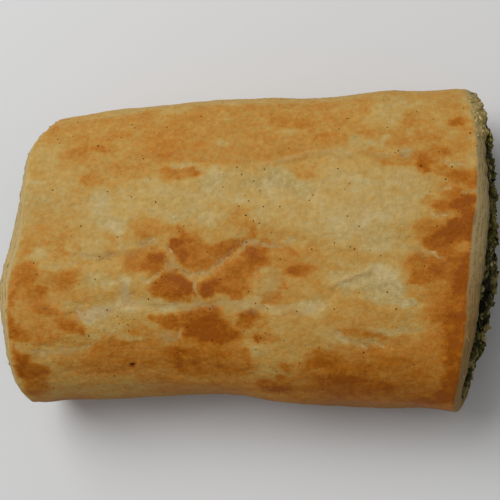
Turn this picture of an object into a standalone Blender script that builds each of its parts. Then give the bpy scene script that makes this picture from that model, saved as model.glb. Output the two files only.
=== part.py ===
"""A baked pastry roll: a puff pastry wrapper, open at its two cut ends, round a spinach and cheese filling.

The roll lies along X on a flat base at Z = 0. Every length is in metres.
"""

import math

import bmesh
import bpy
from mathutils import Vector, noise
from mathutils.geometry import intersect_point_line

# The roll's body, seen along X: a broad loaf with a domed top and a flat base.
HEIGHT = 0.0340
WIDEST_AT = 0.0130  # height at which the roll is widest
BASE_SAG = 0.0012  # how far the lower curve would run below the base that cuts it off flat
DOME_POWER = 2.7  # 2 is an ellipse, and more squares its shoulders
BELLY_POWER = 3.1

# Half widths in front of the middle line and behind it, at even steps from the left cut to the right
FRONT_WIDTHS = (
    0.0372, 0.0356, 0.0350, 0.0342, 0.0339, 0.0341, 0.0344, 0.0354, 0.0356, 0.0353, 0.0357, 0.0358, 0.0366
)
BACK_WIDTHS = (
    0.0312, 0.0325, 0.0336, 0.0340, 0.0346, 0.0353, 0.0357, 0.0358, 0.0353, 0.0354, 0.0361, 0.0357, 0.0359
)
BODY_FROM, BODY_TO = -0.0490, 0.0490  # where those steps begin and end

# x of the crust's two cut edges, at even steps from the front of the roll to its back
LEFT_EDGE = (-0.0489, -0.0500, -0.0499, -0.0475, -0.0472, -0.0474, -0.0448)
RIGHT_EDGE = (0.0486, 0.0509, 0.0517, 0.0525, 0.0536, 0.0529, 0.0501)
BASE_BULGE_SHARE = 0.5  # the base stuck to the tray, so it bulges less than the top

# The wall of the wrapper. Its inner layers have puffed out past the crust at both cuts,
# by these lengths at the same steps from front to back, and by one length under the roll.
WALL = 0.0034
BASE_WALL = 0.0026
LEFT_FLARE = (0.0020, 0.0025, 0.0036, 0.0038, 0.0027, 0.0022, 0.0020)
RIGHT_FLARE = (0.0016, 0.0022, 0.0030, 0.0034, 0.0025, 0.0017, 0.0026)
BASE_FLARE = 0.0022
CUT_LAYERS, LAYER_STEP, LAYER_WANDER = 2, 0.0004, 2.0
EDGE_RAGGED = 0.0005
# the right cut has puffed out most at its back corner
PUFF_OUT, PUFF_ACROSS, PUFF_WIDTH = 0.0022, 0.84, 0.18

# Relief of the crust
SWELL_HEIGHT, SWELL_LENGTH = 0.0009, 0.026
STREAK_HEIGHT, STREAK_LENGTH, STREAK_WIDTH = 0.0005, 0.022, 0.006
CREASE_DEPTH, CREASE_WIDTH = 0.0005, 0.0016
LIP_HEIGHT = 0.0002
RELIEF_STARTS = 0.0035  # height above the base at which the relief has faded in

# The pastry sheet's edges overlap under the roll, and the seam is a groove in the base.
SEAM_AT = 0.0140
SEAM_DEPTH, SEAM_WIDTH = 0.0008, 0.0022

# The filling, which stands proud of the pastry at both cuts. Its right face has sunk back
# towards the front of the roll, by these lengths at the same steps as the edges.
FIT_GAP = 0.0004
FILLING_BULGE_LEFT = 0.0004
FILLING_BULGE_RIGHT = 0.0015
RIGHT_SINK = (0.0002, 0.0006, 0.0003, -0.0002, 0.0001, -0.0002, 0.0)
LUMP_SIZE, LUMP_HEIGHT = 0.0068, 0.0024
GRAIN_SIZE, GRAIN_HEIGHT = 0.0038, 0.0010

# Creases where the crust folded and cracked, as (x, y) places seen from above
CREASES = (
    (
        (-0.0175, -0.0015),
        (-0.0125, -0.0080),
        (-0.0080, -0.0095),
        (-0.0025, -0.0075),
        (0.0050, -0.0015),
        (0.0160, -0.0020),
    ),
    (
        (-0.0345, -0.0175),
        (-0.0215, -0.0145),
        (-0.0150, -0.0165),
        (-0.0055, -0.0155),
        (0.0030, -0.0145),
        (0.0205, -0.0155),
    ),
    ((0.0040, 0.0160), (0.0215, 0.0190), (0.0365, 0.0180), (0.0450, 0.0160), (0.0520, 0.0135)),
    ((-0.0445, -0.0270), (-0.0385, -0.0260), (-0.0315, -0.0250)),
    ((0.0225, -0.0145), (0.0260, -0.0215), (0.0340, -0.0235)),
    ((-0.0325, -0.0055), (-0.0255, -0.0060)),
)

# How finely each piece is divided
AROUND = 96
CRUST_STEPS = 30
RIM_STEPS = 8
INNER_STEPS = 6
FILLING_CELLS = {"across": 34, "up": 18, "along": 6}

PASTRY_COLOUR = (0.50, 0.28, 0.09, 1.0)
FILLING_COLOUR = (0.10, 0.11, 0.05, 1.0)


def smooth_step(value):
    """0 below 0, 1 above 1, and an S curve between."""
    value = min(1.0, max(0.0, value))
    return value * value * (3 - 2 * value)


def mix(low, high, share):
    return low + (high - low) * share


def signed_noise(x, y, z=0.0):
    return noise.noise(Vector((x, y, z)))


def unit_section(angle):
    """The roll's section as (across, up) shares from -1 to 1, at this angle round its middle."""
    power = DOME_POWER if math.sin(angle) > 0 else BELLY_POWER
    reach = (abs(math.cos(angle)) ** power + abs(math.sin(angle)) ** power) ** (-1 / power)
    return reach * math.cos(angle), reach * math.sin(angle)


def smooth_curve(values, share):
    """A smooth curve through evenly spaced values, read at a share from 0 to 1 of the way along them."""
    place = min(1.0, max(0.0, share)) * (len(values) - 1)
    step = min(int(place), len(values) - 2)
    along = place - step
    start, end = values[step], values[step + 1]
    start_slope = (end - values[max(step - 1, 0)]) / 2
    end_slope = (values[min(step + 2, len(values) - 1)] - start) / 2
    straight = mix(start, end, smooth_step(along))
    return straight + along * (1 - along) * ((1 - along) * start_slope - along * end_slope)


def half_width(x, behind):
    return smooth_curve(BACK_WIDTHS if behind else FRONT_WIDTHS, (x - BODY_FROM) / (BODY_TO - BODY_FROM))


def section_point(angle, x, inset=0.0, base_inset=0.0):
    """(y, z) on the roll's smooth section, or on one that lies this far inside it."""
    across, up = unit_section(angle)
    y = (half_width(x, across > 0) - inset) * across
    if up > 0:
        return y, WIDEST_AT + (HEIGHT - WIDEST_AT - inset) * up
    return y, max(base_inset, WIDEST_AT + (WIDEST_AT + BASE_SAG - inset) * up)


def crust_edge(angle, right):
    """x of the crust's cut edge."""
    across, up = unit_section(angle)
    edge = RIGHT_EDGE if right else LEFT_EDGE
    from_front = (across + 1) / 2
    chord = mix(edge[0], edge[-1], from_front)
    bulge = smooth_curve(edge, from_front) - chord
    bulge *= 1 if up > 0 else mix(1, BASE_BULGE_SHARE, -up)
    return chord + bulge + EDGE_RAGGED * signed_noise(4.0 * across, 4.0 * up, 9.0 if right else 3.0)


def cut_edge(angle, depth, right):
    """x of the cut pastry at this share of the wall's depth, from 0 at the crust to 1 at the filling."""
    across, up = unit_section(angle)
    flare = smooth_curve(RIGHT_FLARE if right else LEFT_FLARE, (across + 1) / 2)
    flare = mix(flare, BASE_FLARE, smooth_step(-up))
    if right:
        puff = PUFF_OUT * math.exp(-(((across - PUFF_ACROSS) / PUFF_WIDTH) ** 2))
        flare += puff * smooth_step(0.5 + 2 * up)
    wander = LAYER_WANDER * signed_noise(3.0 * across, 3.0 * up, 12.0 if right else 14.0)
    layers = LAYER_STEP * math.sin(depth * math.tau * CUT_LAYERS + wander * math.sin(depth * math.pi))
    out = flare * math.sin(depth * math.pi / 2) ** 0.7 + layers
    return crust_edge(angle, right) + (out if right else -out)


def distance_to_crease(x, y):
    """Distance in plan to the nearest crease."""
    place = Vector((x, y))
    nearest = math.inf
    for crease in CREASES:
        for start, end in zip(crease, crease[1:]):
            on_line, share = intersect_point_line(place, start, end)
            on_crease = start if share < 0 else end if share > 1 else on_line
            nearest = min(nearest, math.dist(place, on_crease))
    return nearest


def crust_relief(x, y, z):
    """How far the crust stands out from the smooth section: swells, streaks along the roll, and creases."""
    relief = SWELL_HEIGHT * signed_noise(x / SWELL_LENGTH, y / SWELL_LENGTH, z / SWELL_LENGTH)
    relief += STREAK_HEIGHT * signed_noise(x / STREAK_LENGTH, y / STREAK_WIDTH, z / STREAK_WIDTH + 5.0)
    if z > WIDEST_AT:
        distance = distance_to_crease(x, y) / CREASE_WIDTH
        relief += LIP_HEIGHT * math.exp(-((distance - 1.8) ** 2))
        relief -= CREASE_DEPTH * math.exp(-distance * distance)
    return relief * smooth_step(z / RELIEF_STARTS)


def crust_point(angle, x):
    y, z = section_point(angle, x)
    relief = crust_relief(x, y, z)
    outwards = Vector((y, z - WIDEST_AT)).normalized()
    if z <= 0.0:
        return y, SEAM_DEPTH * math.exp(-(((y - SEAM_AT) / SEAM_WIDTH) ** 2) * 4)
    return y + relief * outwards.x, max(0.0, z + relief * outwards.y)


def wall_stations():
    """(share along, share of the wall's depth) once round the wall: crust, right cut, inside, left cut."""
    crust = [(step / CRUST_STEPS, 0.0) for step in range(CRUST_STEPS)]
    right_cut = [(1.0, step / RIM_STEPS) for step in range(RIM_STEPS)]
    inside = [(1 - step / INNER_STEPS, 1.0) for step in range(INNER_STEPS)]
    left_cut = [(0.0, 1 - step / RIM_STEPS) for step in range(RIM_STEPS)]
    return crust + right_cut + inside + left_cut


def pastry_point(angle, along, depth):
    x = mix(cut_edge(angle, depth, right=False), cut_edge(angle, depth, right=True), along)
    outer = Vector(crust_point(angle, x))
    inner = Vector(section_point(angle, x, WALL, BASE_WALL))
    y, z = outer.lerp(inner, depth)
    return Vector((x, y, z))


def filling_face(angle, reach, right):
    """x of the filling's open face, at this angle and share of the way out from its middle."""
    y, z = Vector((0.0, WIDEST_AT)).lerp(Vector(section_point(angle, 0.0)), reach)
    side = 7.0 if right else 2.0
    cell_distance = noise.voronoi(Vector((y / LUMP_SIZE, z / LUMP_SIZE, side)))[0][0]
    crags = LUMP_HEIGHT * (0.45 - cell_distance)
    crags += GRAIN_HEIGHT * signed_noise(y / GRAIN_SIZE, z / GRAIN_SIZE, side)
    out = (FILLING_BULGE_RIGHT if right else FILLING_BULGE_LEFT) * (1 - reach**4) + crags
    if right:
        out -= smooth_curve(RIGHT_SINK, (unit_section(angle)[0] * reach + 1) / 2)
    middle = cut_edge(math.pi / 2, 1.0, right)
    return mix(middle, cut_edge(angle, 1.0, right), reach**2) + (out if right else -out)


def filling_point(across, up, along):
    """The place in the filling of a point on a cube that runs from -1 to 1."""
    disc = Vector((across * math.sqrt(1 - up * up / 2), up * math.sqrt(1 - across * across / 2)))
    reach = min(1.0, disc.length)
    angle = math.atan2(disc.y, disc.x)
    left = filling_face(angle, reach, right=False)
    x = mix(left, filling_face(angle, reach, right=True), (along + 1) / 2)
    middle = Vector((0.0, WIDEST_AT))
    y, z = middle.lerp(Vector(section_point(angle, x, WALL + FIT_GAP, BASE_WALL + FIT_GAP)), reach)
    return Vector((x, y, z))


def material(name, colour, roughness):
    made = bpy.data.materials.new(name)
    made.use_nodes = True
    shader = made.node_tree.nodes["Principled BSDF"]
    shader.inputs["Base Color"].default_value = colour
    shader.inputs["Roughness"].default_value = roughness
    shader.inputs["Metallic"].default_value = 0.0
    return made


def finish_mesh(obj, name, surface, roll):
    """Names the object, gives it its surface and puts it in the roll's collection, faces outwards."""
    obj.name = name
    obj.data.name = name
    obj.data.materials.append(surface)
    work = bmesh.new()
    work.from_mesh(obj.data)
    bmesh.ops.triangulate(work, faces=work.faces)
    bmesh.ops.recalc_face_normals(work, faces=work.faces)
    work.to_mesh(obj.data)
    work.free()
    obj.data.shade_smooth()
    for collection in list(obj.users_collection):
        collection.objects.unlink(obj)
    roll.objects.link(obj)
    return obj


def make_pastry(roll):
    """The wrapper is a torus whose ring runs round the roll and whose tube is the wall's own outline."""
    stations = wall_stations()
    bpy.ops.mesh.primitive_torus_add(
        major_segments=AROUND, minor_segments=len(stations), major_radius=1.0, minor_radius=0.25
    )
    obj = bpy.context.object
    for vertex in obj.data.vertices:
        angle = math.atan2(vertex.co.y, vertex.co.x)
        turn = math.atan2(vertex.co.z, math.hypot(vertex.co.x, vertex.co.y) - 1.0) / math.tau
        along, depth = stations[round(turn * len(stations)) % len(stations)]
        vertex.co = pastry_point(angle, along, depth)
    return finish_mesh(obj, "pastry", material("baked_pastry", PASTRY_COLOUR, 0.6), roll)


def make_filling(roll):
    """The filling is a cube divided into cells and pressed into the space inside the wrapper."""
    bpy.ops.mesh.primitive_cube_add(size=2.0)
    obj = bpy.context.object
    work = bmesh.new()
    work.from_mesh(obj.data)
    for axis, cells in enumerate((FILLING_CELLS["across"], FILLING_CELLS["up"], FILLING_CELLS["along"])):
        edges = [e for e in work.edges if abs((e.verts[0].co - e.verts[1].co)[axis]) > 1e-6]
        bmesh.ops.subdivide_edges(work, edges=edges, cuts=cells - 1, use_grid_fill=True)
    for vertex in work.verts:
        vertex.co = filling_point(*vertex.co)
    work.to_mesh(obj.data)
    work.free()
    return finish_mesh(obj, "filling", material("spinach_cheese_filling", FILLING_COLOUR, 0.7), roll)


def centre_on_origin(pieces):
    """Moves the finished pieces together until the box round both is centred over the origin."""
    corners = [vertex.co for piece in pieces for vertex in piece.data.vertices]
    x_middle = (min(c.x for c in corners) + max(c.x for c in corners)) / 2
    y_middle = (min(c.y for c in corners) + max(c.y for c in corners)) / 2
    for corner in corners:
        corner.x -= x_middle
        corner.y -= y_middle


def main():
    for obj in list(bpy.data.objects):
        bpy.data.objects.remove(obj)
    roll = bpy.data.collections.new("pastry_roll")
    bpy.context.scene.collection.children.link(roll)
    centre_on_origin([make_pastry(roll), make_filling(roll)])


main()
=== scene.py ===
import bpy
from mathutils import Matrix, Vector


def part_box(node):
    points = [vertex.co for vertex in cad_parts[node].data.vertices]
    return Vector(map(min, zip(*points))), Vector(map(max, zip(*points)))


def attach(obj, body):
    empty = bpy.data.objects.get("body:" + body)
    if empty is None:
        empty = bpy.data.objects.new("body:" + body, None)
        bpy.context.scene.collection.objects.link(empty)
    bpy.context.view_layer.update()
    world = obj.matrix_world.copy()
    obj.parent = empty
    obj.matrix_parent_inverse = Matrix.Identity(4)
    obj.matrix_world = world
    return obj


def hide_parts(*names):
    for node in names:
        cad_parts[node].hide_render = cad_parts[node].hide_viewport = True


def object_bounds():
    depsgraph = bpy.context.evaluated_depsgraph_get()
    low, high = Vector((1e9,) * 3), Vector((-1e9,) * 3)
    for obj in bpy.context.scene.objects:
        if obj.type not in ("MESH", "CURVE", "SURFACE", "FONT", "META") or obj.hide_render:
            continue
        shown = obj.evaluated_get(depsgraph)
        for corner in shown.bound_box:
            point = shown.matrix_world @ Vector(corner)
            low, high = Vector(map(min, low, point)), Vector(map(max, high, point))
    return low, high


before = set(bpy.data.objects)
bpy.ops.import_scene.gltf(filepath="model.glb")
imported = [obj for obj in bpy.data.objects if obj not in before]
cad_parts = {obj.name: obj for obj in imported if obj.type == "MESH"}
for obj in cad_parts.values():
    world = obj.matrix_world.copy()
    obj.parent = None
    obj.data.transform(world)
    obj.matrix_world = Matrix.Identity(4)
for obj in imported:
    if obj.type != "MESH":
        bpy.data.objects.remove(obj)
cad_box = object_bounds()
box_low, box_high = cad_box
print("solids:", sorted(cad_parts), "box:", cad_box)

# %% [markdown]
# # A baked pastry roll with spinach and cheese
#
# A sheet of puff pastry is wrapped round a log of chopped spinach and crumbled cheese, baked, and cut to
# length with a knife. The roll therefore has three kinds of surface: the baked crust, the two cut edges
# where the pastry's layers show, and the two open faces of the filling.
#
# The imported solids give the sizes. This script makes finer meshes of the same form and dresses them. All
# lengths are in metres, and MM turns a number of millimetres into metres.

# %% Tools
import math

import bmesh
import bpy
import numpy as np
from mathutils import Matrix, Vector, noise

MM = 0.001

# %% [markdown]
# ## The roll's form
#
# The form is a section that is swept along X. The section is a superellipse, which is an ellipse with
# fuller shoulders, cut off flat where the roll lay on its tray. Its half width changes along the roll, and
# both cut edges are curves that run from the front of the roll to its back. The solids are made from the
# same numbers, so the two fit each other.

# %% The roll's sizes
HEIGHT = 34.0 * MM
WIDEST_AT = 13.0 * MM
BASE_SAG = 1.2 * MM
DOME_POWER = 2.7
BELLY_POWER = 3.1
FRONT_WIDTHS = np.array([37.2, 35.6, 35.0, 34.2, 33.9, 34.1, 34.4, 35.4, 35.6, 35.3, 35.7, 35.8, 36.6]) * MM
BACK_WIDTHS = np.array([31.2, 32.5, 33.6, 34.0, 34.6, 35.3, 35.7, 35.8, 35.3, 35.4, 36.1, 35.7, 35.9]) * MM
BODY_FROM, BODY_TO = -49.0 * MM, 49.0 * MM
LEFT_EDGE = np.array([-48.9, -50.0, -49.9, -47.5, -47.2, -47.4, -44.8]) * MM
RIGHT_EDGE = np.array([48.6, 50.9, 51.7, 52.5, 53.6, 52.9, 50.1]) * MM
BASE_BULGE_SHARE = 0.5
WALL, BASE_WALL = 3.4 * MM, 2.6 * MM
LEFT_FLARE = np.array([2.0, 2.5, 3.6, 3.8, 2.7, 2.2, 2.0]) * MM
RIGHT_FLARE = np.array([1.6, 2.2, 3.0, 3.4, 2.5, 1.7, 2.6]) * MM
BASE_FLARE = 2.2 * MM
PUFF_OUT, PUFF_ACROSS, PUFF_WIDTH = 2.2 * MM, 0.84, 0.18
EDGE_RAGGED, EDGE_NICKS = 0.5 * MM, 0.2 * MM


def smooth_step(value):
    """0 below 0, 1 above 1, and an S curve between."""
    value = np.clip(value, 0.0, 1.0)
    return value * value * (3 - 2 * value)


def mix(low, high, share):
    return low + (high - low) * share


def smooth_curve(values, share):
    """A smooth curve through evenly spaced values, read at shares from 0 to 1 of the way along them."""
    place = np.clip(share, 0.0, 1.0) * (len(values) - 1)
    step = np.minimum(place.astype(int), len(values) - 2)
    along = place - step
    start, end = values[step], values[step + 1]
    start_slope = (end - values[np.maximum(step - 1, 0)]) / 2
    end_slope = (values[np.minimum(step + 2, len(values) - 1)] - start) / 2
    straight = mix(start, end, smooth_step(along))
    return straight + along * (1 - along) * ((1 - along) * start_slope - along * end_slope)


def noise_at(x, y, z=0.0, octaves=1):
    """Smooth noise from about -1 to 1 at every place in the arrays, which are in units of its grain."""
    x, y, z = np.broadcast_arrays(x, y, z)
    places = np.stack([x, y, z], axis=-1).reshape(-1, 3).tolist()
    if octaves == 1:
        values = [noise.noise(place) for place in places]
    else:
        values = [noise.fractal(place, 1.0, 2.0, octaves) for place in places]
    return np.array(values).reshape(x.shape)


def noise_mm(x, y, z, length, breadth, seed=0.0, octaves=1):
    """Noise whose grains are this long along the roll and this broad across it, both in millimetres."""
    return noise_at(x / (length * MM), y / (breadth * MM), z / (breadth * MM) + seed, octaves)


# %% Section and cut edges
def unit_section(angle):
    """The section as (across, up) shares from -1 to 1, at these angles round its middle."""
    power = np.where(np.sin(angle) > 0, DOME_POWER, BELLY_POWER)
    reach = (np.abs(np.cos(angle)) ** power + np.abs(np.sin(angle)) ** power) ** (-1 / power)
    return reach * np.cos(angle), reach * np.sin(angle)


def half_width(x, across):
    share = (x - BODY_FROM) / (BODY_TO - BODY_FROM)
    return np.where(across > 0, smooth_curve(BACK_WIDTHS, share), smooth_curve(FRONT_WIDTHS, share))


def section_point(angle, x, inset=0.0, base_inset=0.0):
    """(y, z) on the smooth section, or on one that lies this far inside it."""
    across, up = unit_section(angle)
    y = (half_width(x, across) - inset) * across
    top = WIDEST_AT + (HEIGHT - WIDEST_AT - inset) * up
    bottom = np.maximum(base_inset, WIDEST_AT + (WIDEST_AT + BASE_SAG - inset) * up)
    return y, np.where(up > 0, top, bottom)


def crust_edge(angle, right):
    """x of the crust's cut edge."""
    across, up = unit_section(angle)
    edge = RIGHT_EDGE if right else LEFT_EDGE
    from_front = (across + 1) / 2
    chord = mix(edge[0], edge[-1], from_front)
    bulge = smooth_curve(edge, from_front) - chord
    bulge = bulge * np.where(up > 0, 1.0, mix(1.0, BASE_BULGE_SHARE, -up))
    nicks = EDGE_NICKS * noise_at(17.0 * across, 17.0 * up, 5.0 if right else 8.0, octaves=3)
    return chord + bulge + EDGE_RAGGED * noise_at(4.0 * across, 4.0 * up, 9.0 if right else 3.0) + nicks


def flare(angle, right):
    """How far the innermost layer of the pastry has puffed out past the crust's edge."""
    across, up = unit_section(angle)
    out = smooth_curve(RIGHT_FLARE if right else LEFT_FLARE, (across + 1) / 2)
    out = mix(out, BASE_FLARE, smooth_step(-up))
    if right:
        puff = PUFF_OUT * np.exp(-(((across - PUFF_ACROSS) / PUFF_WIDTH) ** 2))
        out = out + puff * smooth_step(0.5 + 2 * up)
    return out


# %% [markdown]
# ## Relief of the crust
#
# A baked sheet is never smooth. It has broad swells where the filling pushes it up, streaks along the roll
# from the rolling pin, creases where it folded and cracked as it rose, and thin steps where the top skin
# has flaked. Relief this large has to be in the mesh, because it shows at the outline and in the shadows.
#
# The creases are short chains of points seen from above, in millimetres. The nearest distance
# to a chain gives each crease its groove and its lips. They run where the solids' creases do, and are
# shallower, because the torn skin adds its own relief to them.

# %% Creases along the same lines as the solids'
CREASES = (
    ((-17.5, -1.5), (-12.5, -8.0), (-8.0, -9.5), (-2.5, -7.5), (5.0, -1.5), (16.0, -2.0)),
    ((-34.5, -17.5), (-21.5, -14.5), (-15.0, -16.5), (-5.5, -15.5), (3.0, -14.5), (20.5, -15.5)),
    ((4.0, 16.0), (21.5, 19.0), (36.5, 18.0), (45.0, 16.0), (52.0, 13.5)),
    ((-44.5, -27.0), (-38.5, -26.0), (-31.5, -25.0)),
    ((22.5, -14.5), (26.0, -21.5), (34.0, -23.5)),
    ((-32.5, -5.5), (-25.5, -6.0)),
)
CREASE_DEPTH, CREASE_WIDTH, LIP_HEIGHT = 0.26 * MM, 1.6 * MM, 0.14 * MM
SWELL_HEIGHT, STREAK_HEIGHT = 0.9 * MM, 0.5 * MM
SWELL_SIZE, STREAK_LENGTH, STREAK_BREADTH = 26.0, 22.0, 6.0  # in millimetres
RELIEF_STARTS = 3.5 * MM


def distance_to_lines(x, y, lines):
    """Distance in plan from every place to the nearest of these chains of points in millimetres."""
    nearest = np.full(np.shape(x), np.inf)
    for line in lines:
        for (x0, y0), (x1, y1) in zip(line, line[1:]):
            run_x, run_y = (x1 - x0) * MM, (y1 - y0) * MM
            from_x, from_y = x - x0 * MM, y - y0 * MM
            share = np.clip((from_x * run_x + from_y * run_y) / (run_x**2 + run_y**2), 0.0, 1.0)
            nearest = np.minimum(nearest, np.hypot(from_x - share * run_x, from_y - share * run_y))
    return nearest


def broad_relief(x, y, z):
    """The swells, streaks and creases, which the solids have too."""
    relief = SWELL_HEIGHT * noise_mm(x, y, z, SWELL_SIZE, SWELL_SIZE)
    relief = relief + STREAK_HEIGHT * noise_mm(x, y, z, STREAK_LENGTH, STREAK_BREADTH, 5.0)
    distance = distance_to_lines(x, y, CREASES) / CREASE_WIDTH
    crease = LIP_HEIGHT * np.exp(-((distance - 1.8) ** 2)) - CREASE_DEPTH * np.exp(-distance * distance)
    return relief + crease * (z > WIDEST_AT)


# %% [markdown]
# Where the top skin tore as the roll rose, a pale line of torn layers shows between the browned parts.
# These lines are finer and more numerous than the creases, and they steer both the relief and the colour.
# Hairline cracks with scorched edges, low ridges of overlapped skin, frayed places and a few scorched spots
# are placed in the same way.

# %% Torn lines, cracks, ridges and spots in the top skin
TORN_LINES = (
    # the long tear across the middle, with its branches
    (
        (-33.8, -3.9), (-29.8, -5.9), (-26.7, -5.4), (-24.2, -3.4), (-19.7, -1.9), (-16.7, -1.4),
        (-13.5, -2.6), (-12.0, -4.9), (-11.4, -6.8), (-7.9, -9.2), (-4.1, -8.4), (-2, -7.4), (1, -4.9),
        (3, -3.4), (5.5, -1.4), (9, -2.4), (12.1, -2.9), (14.6, -1.9),
    ),
    ((-12.6, -5.9), (-14.1, -8.4), (-17.7, -10.5)),
    ((-6.1, -10), (-6.1, -12.5), (-5.6, -14)),
    ((-39.9, -7.9), (-36.8, -6.9), (-33.8, -6.4), (-30.8, -7.4)),
    ((6.5, -8.4), (8.5, -7.9), (10.1, -7.9)),
    # the long tear in front of it
    (
        (-34.3, -17.5), (-29.3, -18.5), (-25.7, -17.5), (-21.2, -15.5), (-16.7, -16.5), (-13.1, -16),
        (-8.6, -16.5), (-6.6, -16), (-4.1, -15.4), (-0.5, -15.1), (2.5, -15.4), (6, -14.9), (8.5, -16),
        (14.6, -16), (21.1, -15.5),
    ),
    ((-9.6, -21), (-11.1, -23.6), (-13.6, -23)),
    # the front left corner
    (
        (-48.9, -25.6), (-45.4, -26.1), (-41.9, -27.1), (-38.3, -26.1), (-33.3, -25.6), (-30.3, -24.6),
        (-29.3, -23.6),
    ),
    # towards the right cut
    ((37.2, -2.3), (41, -3.6), (43.9, -4.4), (46.4, -5.3)),
    ((24.2, -21), (27.7, -22.5), (30.7, -23.6), (34.7, -23.6)),
    ((30.7, -20), (34.7, -21), (40.3, -21), (43.3, -20.5)),
    ((44.6, 4.1), (48.3, 4.1)),
    ((51.2, 9.7), (53.7, 9.2)),
    ((45.8, 9.7), (47.8, 10.2)),
    ((46.9, 16.4), (49.4, 15.5), (51.5, 15)),
    # beside the dark oval at the back
    ((-13.1, 15.7), (-9.1, 16.2), (-6.6, 14.2), (-5.1, 12.7)),
)
# hairline cracks, whose edges are scorched
CRACK_LINES = (
    ((-30.9, -5.9), (-28.5, -5.9), (-27.1, -5.4), (-26.2, -5.9)),
    ((-37.1, -18.3), (-34.3, -17.9), (-31.5, -18.3)),
    ((-42.3, -17.1), (-39.5, -17.1), (-37.6, -17.9)),
    ((-19.4, -2.3), (-18.0, -1.8), (-16.2, -1.8)),
    ((-9.9, -8.0), (-8.1, -8.9), (-5.4, -8.9)),
    ((28.0, -8.7), (30.5, -7.5)),
)
SCORCHED_SPOTS = (
    (-21.8, -28.7, 0.5, 0.3, 0, 1.0), (-16.6, -25.3, 0.3, 0.2, 0, 0.9), (8.0, -22.4, 0.3, 0.3, 0, 0.9),
    (31.7, -3.6, 0.4, 0.25, -30, 0.7),
)
RIDGE_LINES = (
    (
        (7.3, 16.2), (10.4, 17.1), (13.9, 18), (17.4, 18.9), (22.3, 18.8), (24.5, 17.8), (28.8, 18.6),
        (33.2, 18.1), (37.5, 17.5),
    ),
    ((23.7, -11), (27.7, -9.5), (31.7, -7.9)),
)


def wander(x, y, size, amount, seed):
    """The same places, each pushed aside by noise, so that the listed shapes get uneven edges."""
    push_x = noise_at(x / size, y / size, seed, octaves=3)
    push_y = noise_at(x / size, y / size, seed + 31.0, octaves=3)
    return x + amount * push_x, y + amount * push_y


TEAR_HALF_WIDTH, THINNEST_TEAR = 0.33 * MM, 0.08 * MM
FAR_FROM_TEARS = 8.0  # the distance given to places that no tear reaches, in half widths


def tear_reach(x, y, z):
    """Distance from the nearest torn line, in half widths of that line, which vary along it."""
    bent_x, bent_y = wander(x, y, 2.6 * MM, 1.0 * MM, 4.0)
    half_width = TEAR_HALF_WIDTH * (1.0 + 0.9 * noise_mm(x, y, 0.0, 3, 3, 17.0, 2))
    reach = distance_to_lines(bent_x, bent_y, TORN_LINES) / np.maximum(half_width, THINNEST_TEAR)
    return np.where(z > WIDEST_AT, np.minimum(reach, FAR_FROM_TEARS), FAR_FROM_TEARS)


def brush(field, x, y, marks, softness):
    """The field with every mark brushed over it. Softness 1 fades from a mark's middle, and 0 is hard."""
    for mark_x, mark_y, half_length, half_breadth, turn, level in marks:
        run_x, run_y = math.cos(math.radians(turn)), math.sin(math.radians(turn))
        from_x, from_y = x / MM - mark_x, y / MM - mark_y
        run = (from_x * run_x + from_y * run_y) / half_length
        off = (from_y * run_x - from_x * run_y) / half_breadth
        cover = smooth_step((1 + softness - np.hypot(run, off)) / (2 * softness))
        field = field + (level - field) * cover
    return field


# each mark: x, y, half length and half breadth in millimetres, turn in degrees, and how frayed the skin is
FRAYED_MARKS = (
    (-10, -16, 7, 1.1, 4, 0.50), (-2, -15.4, 4, 0.8, 4, 0.5), (4, -15.7, 5, 1.1, -10, 0.50),
    (10.4, -11.2, 2.4, 3.2, -20, 0.42), (15, -16.4, 5, 1, 0, 0.45), (-29.5, -17.6, 4.6, 1.5, 14, 0.95),
    (-22.6, -13, 1, 2.6, 15, 0.75), (-12, -7, 1, 1.8, 40, 0.40), (9.5, -2.2, 5, 0.6, -5, 0.55),
    (-13, -22.6, 2.4, 1.4, 0, 0.45), (38.8, 18.2, 1.3, 0.6, 15, 0.75), (49.2, 15.6, 2.4, 0.5, -15, 0.5),
    (52.5, 9.5, 1.4, 0.4, 0, 0.6), (46.4, 4.1, 2, 0.5, 0, 0.4), (29, -22.8, 4, 0.7, -14, 0.4),
    (42, -4, 5, 0.7, -18, 0.3), (-38.5, -26.6, 6, 0.8, 6, 0.5), (-25, -4.6, 6, 0.9, 8, 0.4),
    (-17.4, -1.9, 3, 0.6, 6, 0.65), (-13, -4, 0.6, 1.6, 20, 0.6), (-9.6, -8.2, 2.6, 0.55, -32, 0.6),
    (-4.8, -8.9, 2.6, 0.5, 12, 0.6), (0.2, -4.8, 3.8, 0.5, 42, 0.55), (6.2, -2.2, 4, 0.65, -4, 0.65),
)


def frayed_skin(x, y, z):
    """1 where the top skin has frayed, and 0 where it is whole."""
    bent_x, bent_y = wander(x, y, 2.2 * MM, 1.2 * MM, 51.0)
    return brush(np.zeros(np.shape(x)), bent_x, bent_y, FRAYED_MARKS, 0.45) * (z > WIDEST_AT)


WAVE_HEIGHT, PUCKER_HEIGHT, GRAIN_RELIEF, STEP_HEIGHT = 0.14 * MM, 0.07 * MM, 0.032 * MM, 0.08 * MM
TORN_ROUGH, TORN_SINK, FRAYED_ROUGH = 0.22 * MM, 0.10 * MM, 0.16 * MM
RIDGE_HALF_WIDTH, RIDGE_HEIGHT = 0.5 * MM, 0.42 * MM


def from_ridge(x, y):
    """Distance from the nearest ridge of overlapped skin, in half widths of a ridge."""
    return distance_to_lines(*wander(x, y, 4 * MM, 0.5 * MM, 8.0), RIDGE_LINES) / RIDGE_HALF_WIDTH


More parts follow.
